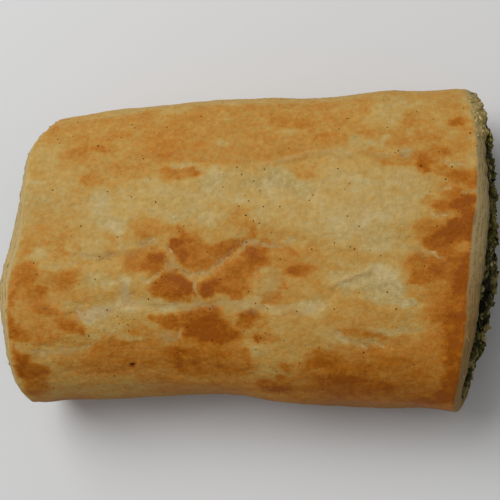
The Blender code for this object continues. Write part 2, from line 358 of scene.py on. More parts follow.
def fine_relief(x, y, z, torn, frayed):
    """Small waves, puckers, flaked steps, ridges, and rough skin where it is torn or frayed."""
    relief = WAVE_HEIGHT * noise_mm(x, y, z, 6, 6, 90.0, 2)
    relief = relief + PUCKER_HEIGHT * noise_mm(x, y, z, 5, 2.5, octaves=3)
    relief = relief + GRAIN_RELIEF * noise_mm(x, y, z, 1.5, 1.5, 17.0, 2)
    field = noise_mm(x, y, z, 13, 6, 40.0, 3) * 3.5
    relief = relief + STEP_HEIGHT * smooth_step((field - np.floor(field)) * 4.0) * (np.abs(field) > 0.3)
    rough = torn * (TORN_ROUGH * noise_mm(x, y, 0.0, 0.9, 0.9, 3.0, 2) - TORN_SINK)
    rough = rough + frayed * FRAYED_ROUGH * noise_mm(x, y, 0.0, 1.4, 1.1, 13.0, 2)
    return relief + rough + RIDGE_HEIGHT * np.exp(-(from_ridge(x, y) ** 2)) * (z > WIDEST_AT)


# %% [markdown]
# ## The wrapper's mesh
#
# The wrapper is a closed shell: crust outside, a cut edge at each end and a wall inside. Its outline is run
# once round the roll, so the mesh is a grid that closes both ways, like a torus. The angles are spaced so
# that the crust gets even steps and the hidden base gets longer ones.

# %% Where the grid's lines lie
AROUND = 384
CRUST_STEPS = 200
RIM_STEPS = 16
INNER_STEPS = 4
BASE_SPACING = 2.6  # steps on the base are this many times as long


def even_angles(count):
    """Angles whose points lie evenly round the section, closer together on the crust than on the base."""
    fine = np.linspace(-math.pi, math.pi, 7201)
    y, z = section_point(fine, np.zeros_like(fine))
    runs = np.hypot(np.diff(y), np.diff(z)) / np.where(z[1:] <= 0.0, BASE_SPACING, 1.0)
    lengths = np.concatenate([[0.0], np.cumsum(runs)])
    return np.interp(np.linspace(0.0, lengths[-1], count + 1)[:-1], lengths, fine)


def wall_stations():
    """(share along the roll, share of the wall's depth) round it: crust, right cut, inside, left cut."""
    crust = [(step / CRUST_STEPS, 0.0) for step in range(CRUST_STEPS)]
    right_cut = [(1.0, step / RIM_STEPS) for step in range(RIM_STEPS)]
    inside = [(1 - step / INNER_STEPS, 1.0) for step in range(INNER_STEPS)]
    left_cut = [(0.0, 1 - step / RIM_STEPS) for step in range(RIM_STEPS)]
    return np.array(crust + right_cut + inside + left_cut)


angles = even_angles(AROUND)[:, None]
stations = wall_stations()
along, depth = stations[None, :, 0], stations[None, :, 1]
print("wrapper grid:", AROUND, "x", len(stations), "=", 2 * AROUND * len(stations), "triangles")

# %% [markdown]
# Each cut shows six or so puffed layers. A layer is a rounded ridge, the gap behind it is a narrow valley,
# and both wander along the edge, because no layer runs unbroken round the roll.

# %% Cut edges with their layers
LAYERS_SHOWN = 6
LAYER_HEIGHT, LAYER_ROUGH = 0.20 * MM, 0.14 * MM


def layer_phase(angle, depth, right):
    """Which layer a point of the cut belongs to: whole numbers are the gaps between layers."""
    across, up = unit_section(angle)
    drift = noise_at(5.0 * across, 5.0 * up, depth * 1.5 + (21.0 if right else 25.0), octaves=2)
    return depth * LAYERS_SHOWN + 0.7 * drift


def layer_ridge(angle, depth, right):
    """1 on the crest of a layer and 0 in the gap between two."""
    return np.sqrt(np.abs(np.sin(math.pi * layer_phase(angle, depth, right))))


def crumbly_corner(angle, right):
    """1 at the back corner of a cut, where the pastry broke into crumbs and not into layers."""
    across, up = unit_section(angle)
    middle, breadth = (0.80, 0.16) if right else (0.86, 0.09)
    return np.exp(-(((across - middle) / breadth) ** 4)) * smooth_step(5.0 * up)


def cut_edge(angle, depth, right):
    """x of the cut pastry at this share of the wall's depth, from 0 at the crust to 1 at the filling."""
    across, up = unit_section(angle)
    out = flare(angle, right) * np.sin(depth * math.pi / 2) ** 0.7
    inner = smooth_step(depth / 0.12) * smooth_step((1 - depth) / 0.08) * (0.35 + 0.65 * depth)
    ragged = noise_at(26.0 * across, 26.0 * up, 6.0 * depth + (1.0 if right else 2.0), octaves=3)
    out = out + inner * (LAYER_HEIGHT * (layer_ridge(angle, depth, right) - 0.6) + LAYER_ROUGH * ragged)
    lumps = noise_at(16.0 * across, 16.0 * up, 3.0 * depth + 70.0, octaves=3)
    out = out + crumbly_corner(angle, right) * smooth_step(depth / 0.2) * MM * (1.1 * lumps - 0.4)
    return crust_edge(angle, right) + (out if right else -out)


# %% Put every point of the grid in place
SEAM_AT, SEAM_DEPTH, SEAM_WIDTH, SEAM_WAVE = 14.0 * MM, 0.8 * MM, 2.2 * MM, 0.8 * MM
DIMPLE_DEPTH = 0.25 * MM
SETTLE = 0.20 * MM  # the crust lies this far inside the solids' own, to keep its relief in their box

left_x, right_x = cut_edge(angles, depth, False), cut_edge(angles, depth, True)
grid_x = mix(left_x, right_x, along)
smooth_y, smooth_z = section_point(angles, grid_x)
tear = tear_reach(grid_x, smooth_y, smooth_z)
torn = np.exp(-(tear**2))
frayed = frayed_skin(grid_x, smooth_y, smooth_z)
smooth_places = grid_x, smooth_y, smooth_z
relief = broad_relief(*smooth_places) + fine_relief(*smooth_places, torn, frayed) - SETTLE
relief = relief * smooth_step(smooth_z / RELIEF_STARTS)
tilt = np.arctan2(smooth_z - WIDEST_AT, smooth_y)
outer_y = smooth_y + relief * np.cos(tilt)
outer_z = np.maximum(0.0, smooth_z + relief * np.sin(tilt))
on_base = smooth_z <= 0.0
seam_wave = SEAM_AT + SEAM_WAVE * noise_mm(grid_x, 0.0, 0.0, 14, 14, 2.0, 2)
groove = SEAM_DEPTH * np.exp(-(((smooth_y - seam_wave) / SEAM_WIDTH) ** 2) * 4)
dimples = DIMPLE_DEPTH * np.maximum(0.0, noise_mm(grid_x, smooth_y, 0.0, 5, 5, 70.0, 2))
outer_y = np.where(on_base, smooth_y, outer_y)
outer_z = np.where(on_base, groove + dimples, outer_z)
inner_y, inner_z = section_point(angles, grid_x, WALL, BASE_WALL)
grid_y, grid_z = mix(outer_y, inner_y, depth), mix(outer_z, inner_z, depth)

# the solids are centred over the origin, so the same shift is applied to everything here
pastry_low, pastry_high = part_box("pastry")
SHIFT = np.array([
    (pastry_low[0] + pastry_high[0] - grid_x.min() - grid_x.max()) / 2,
    (pastry_low[1] + pastry_high[1] - grid_y.min() - grid_y.max()) / 2,
    0.0,
])
print("shift to the solids' place, in mm:", np.round(SHIFT / MM, 2))

# %% [markdown]
# ## Browning
#
# Dough browns where it stood highest and driest, and stays cream where it was damp, folded or shaded. So
# the browning is one number for each vertex, from 0 for raw cream to 1 for dark brown, and the material
# turns it into a colour. Painting a number and not a colour keeps all the tones on one natural scale.
#
# The number is built as a painter would build it. Broad, soft tones come first, then pale zones, then
# browned patches and the small darkest blisters, each brushed over what lies under it. Every brush mark is
# an ellipse of one level, and its outline is then made to wander by noise, so that no ellipse shows.

# %% Broad tones
# each mark: x, y, half length and half breadth in millimetres, turn in degrees, and level of browning
BROAD_TONES = (
    (2.5, 24.3, 52, 9, 0, 0.50), (-11.6, 33.3, 44, 2.5, 0, 0.34), (34.5, 28.5, 5, 3.6, 0, 0.29),
    (-19.7, 6.2, 18, 5.5, 0, 0.29), (2.5, 9.2, 22, 7, 0, 0.29), (30.7, 6.2, 15, 11, 0, 0.27),
    (-41.9, 12.2, 9, 9, 0, 0.34), (-41.9, -16, 11, 10, 0, 0.54), (-25.7, -11, 7, 5, 0, 0.38),
    (17.6, -14, 18, 12, 0, 0.43), (36.8, -19, 13, 6, 0, 0.45), (-17.7, -27.1, 22, 5, 0, 0.64),
    (33.7, -29.1, 20, 5, 0, 0.70), (48.4, 0.1, 6, 12, 0, 0.62), (47.6, -20, 5, 13, 0, 0.66),
    (-19.7, -17, 12, 3, 0, 0.36), (10.6, -26.1, 6, 4, 0, 0.42), (46.8, 22.3, 7, 8, 0, 0.51),
    (-30, -34.6, 11, 3.4, 0, 0.44), (-5.6, -34.6, 18, 3.5, 0, 0.62), (30.7, -35.1, 18, 4, 0, 0.74),
)

# %% Pale zones
PALE_ZONES = (
    # left
    (-19.5, 12, 3.5, 1.2, 0, 0.28), (-46, 12.2, 3.2, 1, 0, 0.20), (-42.4, 8.3, 1.4, 0.9, 0, 0.24),
    (-29.6, 6.4, 2.3, 4.2, 0, 0.19), (-26.8, 2.6, 3.2, 1.6, 0, 0.16), (-24.5, 0.6, 1, 2, 0, 0.13),
    (-43.4, -4.9, 3.2, 1.5, 0, 0.26), (-39.9, -7.1, 4, 0.8, 5, 0.33), (-31.8, -2.9, 5, 3, 0, 0.27),
    (-28.8, -10, 3, 1.4, 0, 0.30), (-26.2, -11.3, 1.6, 0.9, 0, 0.17), (-22.7, -11, 1.6, 1.5, 0, 0.10),
    (-22.9, -13.5, 0.8, 2, 0, 0.17), (-28.8, -18, 3.6, 1.5, 12, 0.07), (-31.3, -18.5, 1.5, 1.4, 0, 0.11),
    (-25.7, -16.8, 2.2, 1, 20, 0.11), (-22.2, -16, 3, 1.3, 0, 0.18), (-26.7, -21, 4, 1.3, 0, 0.32),
    (-21.2, -23, 3, 1, 0, 0.30), (-30.3, -22.5, 1.6, 1.2, 0, 0.36), (-33.3, -23, 2, 1.2, 0, 0.41),
    (-39.9, -26, 5, 0.9, 4, 0.40), (-42, -26.3, 1.2, 0.6, 0, 0.28), (-34.8, -25.8, 3, 0.8, 0, 0.42),
    (-35.3, -16.5, 2.5, 0.9, 0, 0.38),
    # middle
    (-2.6, 21.3, 1.3, 0.9, 0, 0.28), (12.1, 23.8, 2, 0.8, 0, 0.38), (-9.1, 15.8, 1.6, 0.5, 0, 0.18),
    (-3.4, 11.6, 2.7, 3.9, 0, 0.18), (3.2, 7.6, 2, 1.3, -20, 0.19), (11.1, 11.3, 3.8, 3.8, 0, 0.17),
    (14.8, 10.5, 3.6, 2.2, -20, 0.18), (16.6, 8.2, 2, 1, 0, 0.19), (-4.9, 3.6, 2.5, 1.3, 0, 0.17),
    (-3, 2.1, 1.2, 0.8, 0, 0.19), (-11.1, 3.1, 1.3, 1.3, 0, 0.21), (9.5, -9.5, 2, 2.6, 0, 0.38),
    (-12.6, -16.7, 2.4, 0.9, 8, 0.14), (-3.6, -15.9, 9, 0.9, 0, 0.34), (6.5, -15.2, 1.8, 1.3, 0, 0.15),
    (12.6, -16.4, 3, 0.7, 0, 0.24), (19.2, -15.7, 3.8, 1.4, 0, 0.14), (13.5, -1.8, 1.4, 0.6, 0, 0.18),
    (7, -25.1, 1.4, 1.2, 0, 0.29),
    # right
    (34.2, 21.6, 1, 0.9, 0, 0.26), (28, 21.5, 1.6, 0.9, 0, 0.25), (29.7, 20.3, 3.4, 1, 0, 0.30),
    (24.7, 17.7, 3, 1.5, 0, 0.30), (39.8, 23.3, 1.2, 1, 0, 0.36), (42, 24.7, 0.8, 0.8, 0, 0.38),
    (44.2, 23.3, 0.9, 0.8, 0, 0.40), (47.9, 22.1, 2, 0.8, 0, 0.36), (38.3, 18.6, 1, 0.6, 0, 0.24),
    (29.8, 11.6, 2.2, 1.2, -15, 0.14), (28.3, 9.7, 1.3, 1, 0, 0.19), (38.8, 10.2, 1.3, 0.9, 0, 0.19),
    (25.2, 2.1, 3.6, 3.4, 0, 0.19), (31.7, 3.1, 5, 2.6, 20, 0.21), (31.2, 1.8, 0.9, 0.9, 0, 0.12),
    (33.7, -1.9, 3, 2.4, 0, 0.19), (36.8, 6.2, 2, 1.5, 30, 0.21), (29.7, -10, 6, 2.6, 0, 0.16),
    (33.7, -8.6, 4, 1.6, 0, 0.10), (36.3, -11, 3.2, 1.7, -25, 0.06), (33.7, -13, 4, 1.5, 0, 0.20),
    (39.3, -15, 1.8, 1.2, 0, 0.11), (36.8, -13.4, 2, 1, -20, 0.15), (26.2, -22.3, 1.5, 0.6, -12, 0.16),
    (36.8, -20.4, 3.2, 0.6, 0, 0.27), (22.7, -21, 2, 1, 0, 0.33), (41, -2.7, 1.1, 0.9, 0, 0.38),
)

# %% Browned patches
BROWNED = (
    # left end
    (-44.4, 25.3, 1.6, 2.3, 0, 0.54), (-41.9, -1.4, 7, 1.6, 0, 0.48), (-46.6, -2.3, 1.8, 2.4, 0, 0.55),
    (-37.6, -2.9, 1.1, 2.5, 0, 0.53), (-34.8, -3.7, 0.9, 1.7, 0, 0.54), (-46.7, -9.2, 3.6, 2.7, 0, 0.68),
    (-44.9, -9.3, 1.8, 1.7, 0, 0.77), (-48.2, -10.2, 1, 1.6, 0, 0.73), (-43.8, -13.8, 2.6, 2.1, 0, 0.73),
    (-42.8, -12.9, 1, 1.1, 0, 0.83), (-36.3, -10.3, 3.2, 2.1, 20, 0.62), (-36.8, -10.5, 1.7, 1.2, 0, 0.71),
    (-49.9, -17.4, 0.9, 4.6, 0, 0.69), (-49.9, -14.5, 0.9, 1.9, 0, 0.74), (-50, -19.5, 0.9, 1.9, 0, 0.76),
    (-41.4, -16.9, 3.2, 0.9, -10, 0.69), (-38.6, -17.8, 2.4, 0.8, -15, 0.61),
    (-36.3, -20.4, 3.4, 1.4, -14, 0.76), (-32.8, -21.7, 1.1, 0.9, 0, 0.75),
    (-47.4, -22.8, 2.6, 1.9, 0, 0.77), (-48.9, -22.5, 0.9, 1.1, 0, 0.84), (-42.4, -23.2, 1.1, 0.9, 0, 0.69),
    (-45.6, -34, 3, 2, 0, 0.72), (-47, -29.5, 2.6, 3.2, 0, 0.86), (-47.9, -30.1, 1.6, 1.8, 0, 0.93),
    (-44.6, -31, 2.8, 1.7, 0, 0.80), (-48.4, -27.1, 0.9, 1.2, 0, 0.90),
    # band along the back
    (-27.8, 18.2, 12, 4.2, 0, 0.47), (-33.8, 20.3, 6, 0.9, 6, 0.57), (-31.3, 20.6, 2.2, 0.7, 4, 0.72),
    (-28.3, 22.3, 1, 1.5, 0, 0.57), (-38.8, 18.6, 2, 0.6, 10, 0.54), (-32.3, 13.2, 2.2, 1.8, 0, 0.53),
    (-26.7, 14.6, 6, 2.4, 4, 0.47), (-15.2, 21.8, 5, 4, 0, 0.56), (-12.1, 20.3, 1.3, 2.2, 0, 0.57),
    (-12.2, 18, 1.5, 1, 0, 0.57), (-7.6, 21.3, 1.1, 2.3, -30, 0.55), (-8.6, 17.7, 1.7, 1, 0, 0.54),
    (-4.1, 18.6, 4, 2.4, 0, 0.49), (0.5, 24.3, 4.5, 2, 0, 0.50), (5.5, 27.3, 5, 2, 0, 0.50),
    (9.5, 26.8, 2, 1, 0, 0.57), (6.7, 24.2, 1.2, 0.8, 0, 0.55), (16.4, 25.6, 4, 0.9, 0, 0.57),
    (17.9, 23.6, 0.8, 1.8, 0, 0.57), (13, 22, 9, 1.7, 4, 0.48), (20.4, 21.6, 1.6, 0.8, 0, 0.54),
    (-11.6, 14.4, 4.8, 1.5, 3, 0.61), (-8.5, 14.6, 1, 0.8, 0, 0.75), (-13.6, 14.4, 1.4, 0.7, 0, 0.67),
    (16.8, 14.4, 3.2, 2, -20, 0.43), (22.4, 26.2, 5, 1.8, 0, 0.53), (26, 26, 2, 0.8, 0, 0.55),
    (42.8, 27.4, 5.5, 2.4, 0, 0.46), (39.6, 25.8, 1.4, 0.6, 0, 0.50), (45.6, 22.4, 1.2, 2, 0, 0.51),
    # right end
    (49.4, 25.3, 2, 0.9, 0, 0.71), (37, 16.1, 3.4, 1.4, 0, 0.56), (42.2, 17.2, 2.7, 1.5, -15, 0.71),
    (45.7, 18.1, 1.9, 1.9, 0, 0.66), (46.4, 15, 1.4, 1, 0, 0.66), (42.8, 15.4, 1.8, 1.8, 0, 0.88),
    (43.6, 13.8, 1, 1, 0, 0.84), (47.2, 13.4, 2.6, 1.2, 0, 0.62), (50.6, 12.6, 2.1, 2, 0, 0.74),
    (52.1, 11.9, 0.8, 1, 0, 0.92), (43.8, 7.1, 1.8, 1.3, 0, 0.54), (47.2, 6.4, 2.6, 1.1, 8, 0.72),
    (50.9, 6.9, 2.6, 2.2, 0, 0.98), (52.2, 4.1, 1.1, 1.8, 0, 0.95), (44.8, -2.3, 2, 1.8, 0, 0.83),
    (47.4, -0.7, 3, 2.4, 30, 0.89), (49.5, 0.7, 3.2, 2.2, 40, 0.98), (51.6, 0.1, 1.2, 3, 0, 0.96),
    (47.7, -3.7, 1.3, 0.9, 0, 0.98), (43.8, -6.9, 4.6, 3.1, 0, 0.76), (41.3, -5.9, 1.6, 1.1, 0, 0.70),
    (47, -5.9, 3, 3, 0, 0.87), (42.8, -10, 2.6, 0.8, 0, 0.75), (49.9, -6.9, 1.9, 2.6, 0, 0.98),
    (47.5, -12.5, 1.6, 1.4, 0, 0.74), (46.8, -17.6, 2.7, 2, 0, 0.74), (49.6, -16.5, 3, 13, 0, 0.82),
    (50.4, -13.5, 1.2, 4.4, 0, 0.95), (49.5, -16.5, 1.7, 1.9, 0, 0.96), (45.2, -19, 1, 0.8, 0, 0.77),
    (50.2, -19.5, 1.2, 1.9, 0, 0.95), (49.5, -23, 2.3, 1.7, 0, 0.98), (46.7, -23.4, 1.2, 1, 0, 0.80),
    (49.8, -25.5, 1.3, 1.7, 0, 0.92), (49.1, -28.3, 1.8, 2.8, 0, 0.95), (52.5, 4.6, 1.6, 4.6, 0, 0.96),
    (52.5, -2.9, 1.4, 5, 0, 0.95), (51, -13, 1.5, 7, 0, 0.94), (50.4, -23, 1.5, 5, 0, 0.94),
    (52.9, 12.2, 1.4, 2.4, 0, 0.80), (51.3, -2.9, 1.5, 1, 0, 0.62),
    # middle
    (3.5, 2.9, 3.2, 2.4, 0, 0.48), (5.2, 1.2, 1, 1.7, 0, 0.52), (-18.2, 2.3, 4.4, 2, 0, 0.48),
    (-16.2, 0.5, 5, 1.4, 0, 0.58), (-9.7, 0.3, 0.9, 1.7, 0, 0.65), (-8.1, -4.3, 4.6, 4, 0, 0.72),
    (-3.1, -5.1, 5, 3, 20, 0.69), (1, -2.9, 4, 2, 20, 0.76), (2, -10.5, 4, 2.5, -20, 0.74),
    (-11.1, -2.5, 1.4, 1.7, 0, 0.90), (-9.5, -4.3, 1.2, 2.4, 0, 0.86), (1.7, -3.8, 5, 1, 44, 0.88),
    (-18.7, -5.9, 5, 2.7, 0, 0.63), (-15.6, -5.9, 2.6, 2.9, 0, 0.87), (-14.3, -5.4, 1, 1.3, 0, 0.93),
    (4, -7.3, 5.5, 2.6, 15, 0.77), (7.5, -3.9, 3, 2.5, 0, 0.86), (5, -3.9, 1.4, 1.3, 0, 0.96),
    (12.4, -3.9, 3, 1.5, -10, 0.61), (13.5, -6, 3.6, 1.8, 0, 0.57), (17.2, -8.1, 3.4, 1.3, 12, 0.80),
    (15.8, -8.4, 1.2, 0.8, 0, 0.86), (13, -11.2, 1.3, 1.3, 0, 0.75), (10.4, -13.9, 1.9, 1.6, 20, 0.62),
    (-12.1, -11.6, 4.4, 3, -10, 0.86), (-10.6, -10, 2.2, 1.3, -20, 0.98), (-8.3, -12.6, 2, 1.8, 0, 0.96),
    (-4.1, -12.4, 2.1, 1.8, 0, 0.93), (-1, -11.8, 3.4, 1.3, -20, 0.84), (2.5, -13.5, 1.7, 1.2, -20, 0.80),
    # front
    (-11.8, -19.5, 2.4, 1.8, 0, 0.86), (-15.3, -19, 1.6, 1, 0, 0.73), (-4.6, -18.5, 5, 2.8, 0, 0.89),
    (-2.9, -21.6, 6.6, 2.6, 0, 0.98), (-7, -21, 2.4, 1.3, 0, 0.97), (5, -18.6, 2.8, 1.9, 8, 0.87),
    (8.5, -19, 1.5, 1.4, 0, 0.61), (9.5, -22, 3, 1.3, 0, 0.58), (-27.4, -26.3, 4.2, 2.3, 0, 0.72),
    (-24.2, -28.1, 2.8, 1.6, 0, 0.71), (-4, -27.6, 10, 2.8, 0, 0.75), (-11.2, -27.6, 3, 2.8, 0, 0.80),
    (-10.2, -26.8, 1.3, 1.6, 0, 0.90), (-11.1, -28.7, 1.5, 1, 0, 0.93), (-6.4, -28.1, 1.7, 1.2, 0, 0.82),
    (-2.6, -27.7, 3, 2.8, 0, 0.76), (2.9, -27.1, 3, 3, 0, 0.71), (-1.8, -28, 0.9, 0.9, 0, 0.87),
    (10.8, -32.6, 4.2, 1.6, 0, 0.82), (11.2, -32.8, 1.8, 1.1, 0, 0.93), (8, -22.5, 0.6, 0.5, 0, 0.95),
    (13.2, -28.1, 1.7, 1.3, 0, 0.66), (22.1, -28.1, 5, 3, 0, 0.77), (27.7, -20.8, 2.4, 0.8, -5, 0.60),
    (32.7, -21.8, 2.8, 1, -8, 0.70), (37.8, -23, 3, 1.3, 0, 0.56), (41.8, -25.1, 2.4, 1.6, 0, 0.63),
    (31.7, -25.1, 3.4, 0.9, 0, 0.69), (32.7, -28.1, 4.4, 1, 0, 0.76), (26.6, -31.5, 6.4, 2.4, 0, 0.90),
    (34.4, -32, 2.4, 1.1, 0, 0.84), (41.3, -34.4, 2.4, 1.1, 0, 0.87), (45.2, -33.9, 2.8, 1.3, 0, 0.89),
    (48.3, -32.6, 2.8, 2.4, 0, 1.00), (-21.7, -28.6, 0.6, 0.4, 0, 1.20),
)

# %% Brush the marks over one another
RAW_BROWNING, STRETCHED_BROWNING, FADED_BROWNING = 0.42, 0.20, 0.20
FRONT_SIDE, BACK_SIDE, FOOT_BROWNING, BASE_BROWNING = 0.58, 0.38, 0.70, 0.66
RIGHT_END_EXTRA, LEFT_END_EXTRA = 0.24, 0.16  # the front side is this much browner at its ends
BROAD_SOFTNESS, PALE_SOFTNESS, BROWNED_SOFTNESS = 0.45, 0.42, 0.38
STRETCHED_HALF_WIDTH = 0.65 * MM
BASE_REACH = 0.9 * MM  # the base's browning reaches this far up


def streaky_wander(x, y, size, amount, seed):
    """As wander, with noise that is drawn out along the roll."""
    push_x = noise_at(x / (1.8 * size), y / size, seed, octaves=4)
    push_y = noise_at(x / (1.8 * size), y / size, seed + 31.0, octaves=4)
    return x + 1.3 * amount * push_x, y + amount * push_y


def top_browning(x, y, mottle):
    broad_places = streaky_wander(x, y, 7.0 * MM, 2.2 * MM, 2.0)
    patch_places = streaky_wander(x, y, 2.4 * MM, 1.1 * MM, 6.0)
    top = brush(np.full(np.shape(x), RAW_BROWNING), *broad_places, BROAD_TONES, BROAD_SOFTNESS)
    top = brush(top, *patch_places, PALE_ZONES, PALE_SOFTNESS)
    top = brush(top, *patch_places, BROWNED, BROWNED_SOFTNESS)
    beside = distance_to_lines(*wander(x, y, 4.0 * MM, 1.2 * MM, 4.0), TORN_LINES) / STRETCHED_HALF_WIDTH
    uneven = smooth_step(0.5 + 1.4 * noise_mm(x, y, 0.0, 5, 3, 26.0, 2))
    top = mix(top, STRETCHED_BROWNING, 0.45 * np.exp(-(beside**2)) * uneven)
    return top + (0.06 + 0.08 * top) * mottle


def side_browning(x, y, z, mottle):
    side = np.where(y < 0, FRONT_SIDE, BACK_SIDE)
    side = side + (y < 0) * RIGHT_END_EXTRA * smooth_step((x - 12 * MM) / (40 * MM))
    side = side + (y < 0) * LEFT_END_EXTRA * smooth_step((-x - 30 * MM) / (20 * MM))
    side = side + 0.18 * noise_mm(x, y, z, 20, 8, 3.0, 2) + 0.10 * mottle
    foot_line = (7.0 + 3.0 * noise_mm(x, y, 0.0, 16, 16, 50.0, 2)) * MM
    return mix(FOOT_BROWNING + 0.10 * mottle, side, smooth_step((z - foot_line) / (3.0 * MM) + 0.5))


def crust_browning(x, y, z):
    """Browning of the whole crust: top, sides and base."""
    mottle = noise_mm(x, y, z, 5.5, 2.6, 11.0, 5)
    down_the_side = smooth_step(((19.5 + 3.0 * mottle) * MM - z) / (6.0 * MM))
    browning = mix(top_browning(x, y, mottle), side_browning(x, y, z, mottle), down_the_side)
    return np.where(z < BASE_REACH, BASE_BROWNING + 0.22 * mottle, browning)


def near_edge(right, reach):
    """1 at the crust's cut edge, fading to 0 over this reach."""
    return np.exp(-(((grid_x - crust_edge(angles, right)) / reach) ** 2))


bake = crust_browning(grid_x, smooth_y, outer_z)
left_fade = near_edge(False, 1.0 * MM) * smooth_step(smooth_y / (4 * MM) + 3)
right_fade = near_edge(True, 1.4 * MM) * smooth_step(smooth_y / (8 * MM) - 1.2)
patchy = smooth_step(0.75 + noise_mm(grid_x, smooth_y, 0.0, 1, 2, 5.0))
bake = mix(bake, FADED_BROWNING, np.maximum(0.45 * left_fade, 0.6 * right_fade) * patchy)
damp = noise_mm(grid_x, smooth_y, 0.0, 17, 8, 60.0, 3)
damp = smooth_step((damp + 0.15) / 0.7) * (1 - smooth_step((bake - 0.2) / 0.2))
print("browning from", round(float(bake.min()), 2), "to", round(float(bake.max()), 2))

# %% Make the wrapper's mesh
def closed_grid_faces(rows, columns):
    """The quads of a grid that closes both ways."""
    row, column = np.meshgrid(np.arange(rows), np.arange(columns), indexing="ij")
    next_row, next_column = (row + 1) % rows, (column + 1) % columns
    corners = (row, column), (next_row, column), (next_row, next_column), (row, next_column)
    return np.stack([r * columns + c for r, c in corners], axis=-1).reshape(-1, 4).tolist()


def add_numbers(mesh, numbers):
    """Gives every vertex these named numbers."""
    for name, values in numbers.items():
        number = mesh.attributes.new(name, "FLOAT", "POINT")
        number.data.foreach_set("value", np.ravel(values).astype(np.float32))


def show(name, mesh):
    """Puts a mesh into the scene, smoothly shaded."""
    mesh.shade_smooth()
    made = bpy.data.objects.new(name, mesh)
    bpy.context.scene.collection.objects.link(made)
    print(name, "has", len(mesh.polygons), "faces")
    return made


def make_object(name, points, faces, numbers):
    """A mesh object from points and faces, with its vertex numbers, its faces turned outwards."""
    mesh = bpy.data.meshes.new(name)
    mesh.from_pydata(points.tolist(), [], faces)
    work = bmesh.new()
    work.from_mesh(mesh)
    bmesh.ops.recalc_face_normals(work, faces=work.faces)
    work.to_mesh(mesh)
    work.free()
    add_numbers(mesh, numbers)
    return show(name, mesh)


def of_its_cut(shape, *places):
    """What a function of a cut gives, at the right cut or at the left one."""
    return np.where(on_right, shape(*places, True), shape(*places, False))


cut_depth = np.broadcast_to(depth, grid_x.shape)
on_right = np.broadcast_to(along > 0.5, grid_x.shape)
ridge = of_its_cut(layer_ridge, angles, depth)
toasted = on_right * smooth_step((-grid_y + 3 * MM) / (24 * MM))
crumbly = of_its_cut(crumbly_corner, angles)
crack_places = wander(grid_x, smooth_y, 2 * MM, 0.5 * MM, 9.0)
crack = np.minimum(distance_to_lines(*crack_places, CRACK_LINES) / MM, 4.0)
# painted shade: the front side is painted darker and greyer below about 21 mm, where it turns from the light
dull = (smooth_y < 0) * smooth_step((21 * MM - smooth_z) / (8 * MM))
broken = smooth_step(0.6 + 1.5 * noise_mm(grid_x, smooth_y, 0.0, 3, 3, 29.0, 2))
# painted highlight along each ridge's crest, and painted shade just in front of it, over the ridges' own
# relief
crest = np.exp(-(from_ridge(grid_x, smooth_y) ** 2)) * broken
lee = np.exp(-((from_ridge(grid_x, smooth_y + 0.9 * MM) / 1.3) ** 2)) * broken
scorch = brush(np.zeros(grid_x.shape), grid_x, smooth_y, SCORCHED_SPOTS, 0.5) * (smooth_z > WIDEST_AT)
wrapper_points = np.stack([grid_x, grid_y, grid_z], axis=-1).reshape(-1, 3) + SHIFT
wrapper = make_object(
    "pastry_wrapper",
    wrapper_points,
    closed_grid_faces(AROUND, len(stations)),
    {
        "bake": bake, "tear": tear, "damp": damp, "frayed": frayed, "crack": crack, "scorch": scorch,
        "crest": crest, "lee": lee, "dull": dull, "cut_depth": cut_depth, "layer_ridge": ridge,
        # painted shade: the whole right cut is painted darker
        "soaked": on_right, "toasted": toasted, "crumbly": crumbly,
    },
)

# %% [markdown]
# ## Materials
#
# Every finish is a node tree on the Principled shader. Small helpers keep the trees short: they read a
# vertex number, make noise in real sizes, do sums, turn a number into a colour, mix two colours and tilt
# the surface. Colours are given as they would be picked in a paint program, from 0 to 255, and turned into
# the linear values that Blender works in.

# %% Helpers for materials
def shade(red, green, blue):
    """A picked colour as linear values with full alpha."""
    parts = [channel / 255 for channel in (red, green, blue)]
    linear = [part / 12.92 if part <= 0.04045 else ((part + 0.055) / 1.055) ** 2.4 for part in parts]
    return (*linear, 1.0)


def join(tree, socket, value):
    """Links a node's output to a socket, or gives the socket a plain value."""
    if isinstance(value, bpy.types.NodeSocket):
        tree.links.new(value, socket)
    else:
        socket.default_value = value


def add_node(tree, kind, inputs=(), **settings):
    """A node of this kind, with its settings made and its inputs joined."""
    made = tree.nodes.new(kind)
    for name, value in settings.items():
        setattr(made, name, value)
    for socket, value in inputs:
        join(tree, made.inputs[socket], value)
    return made


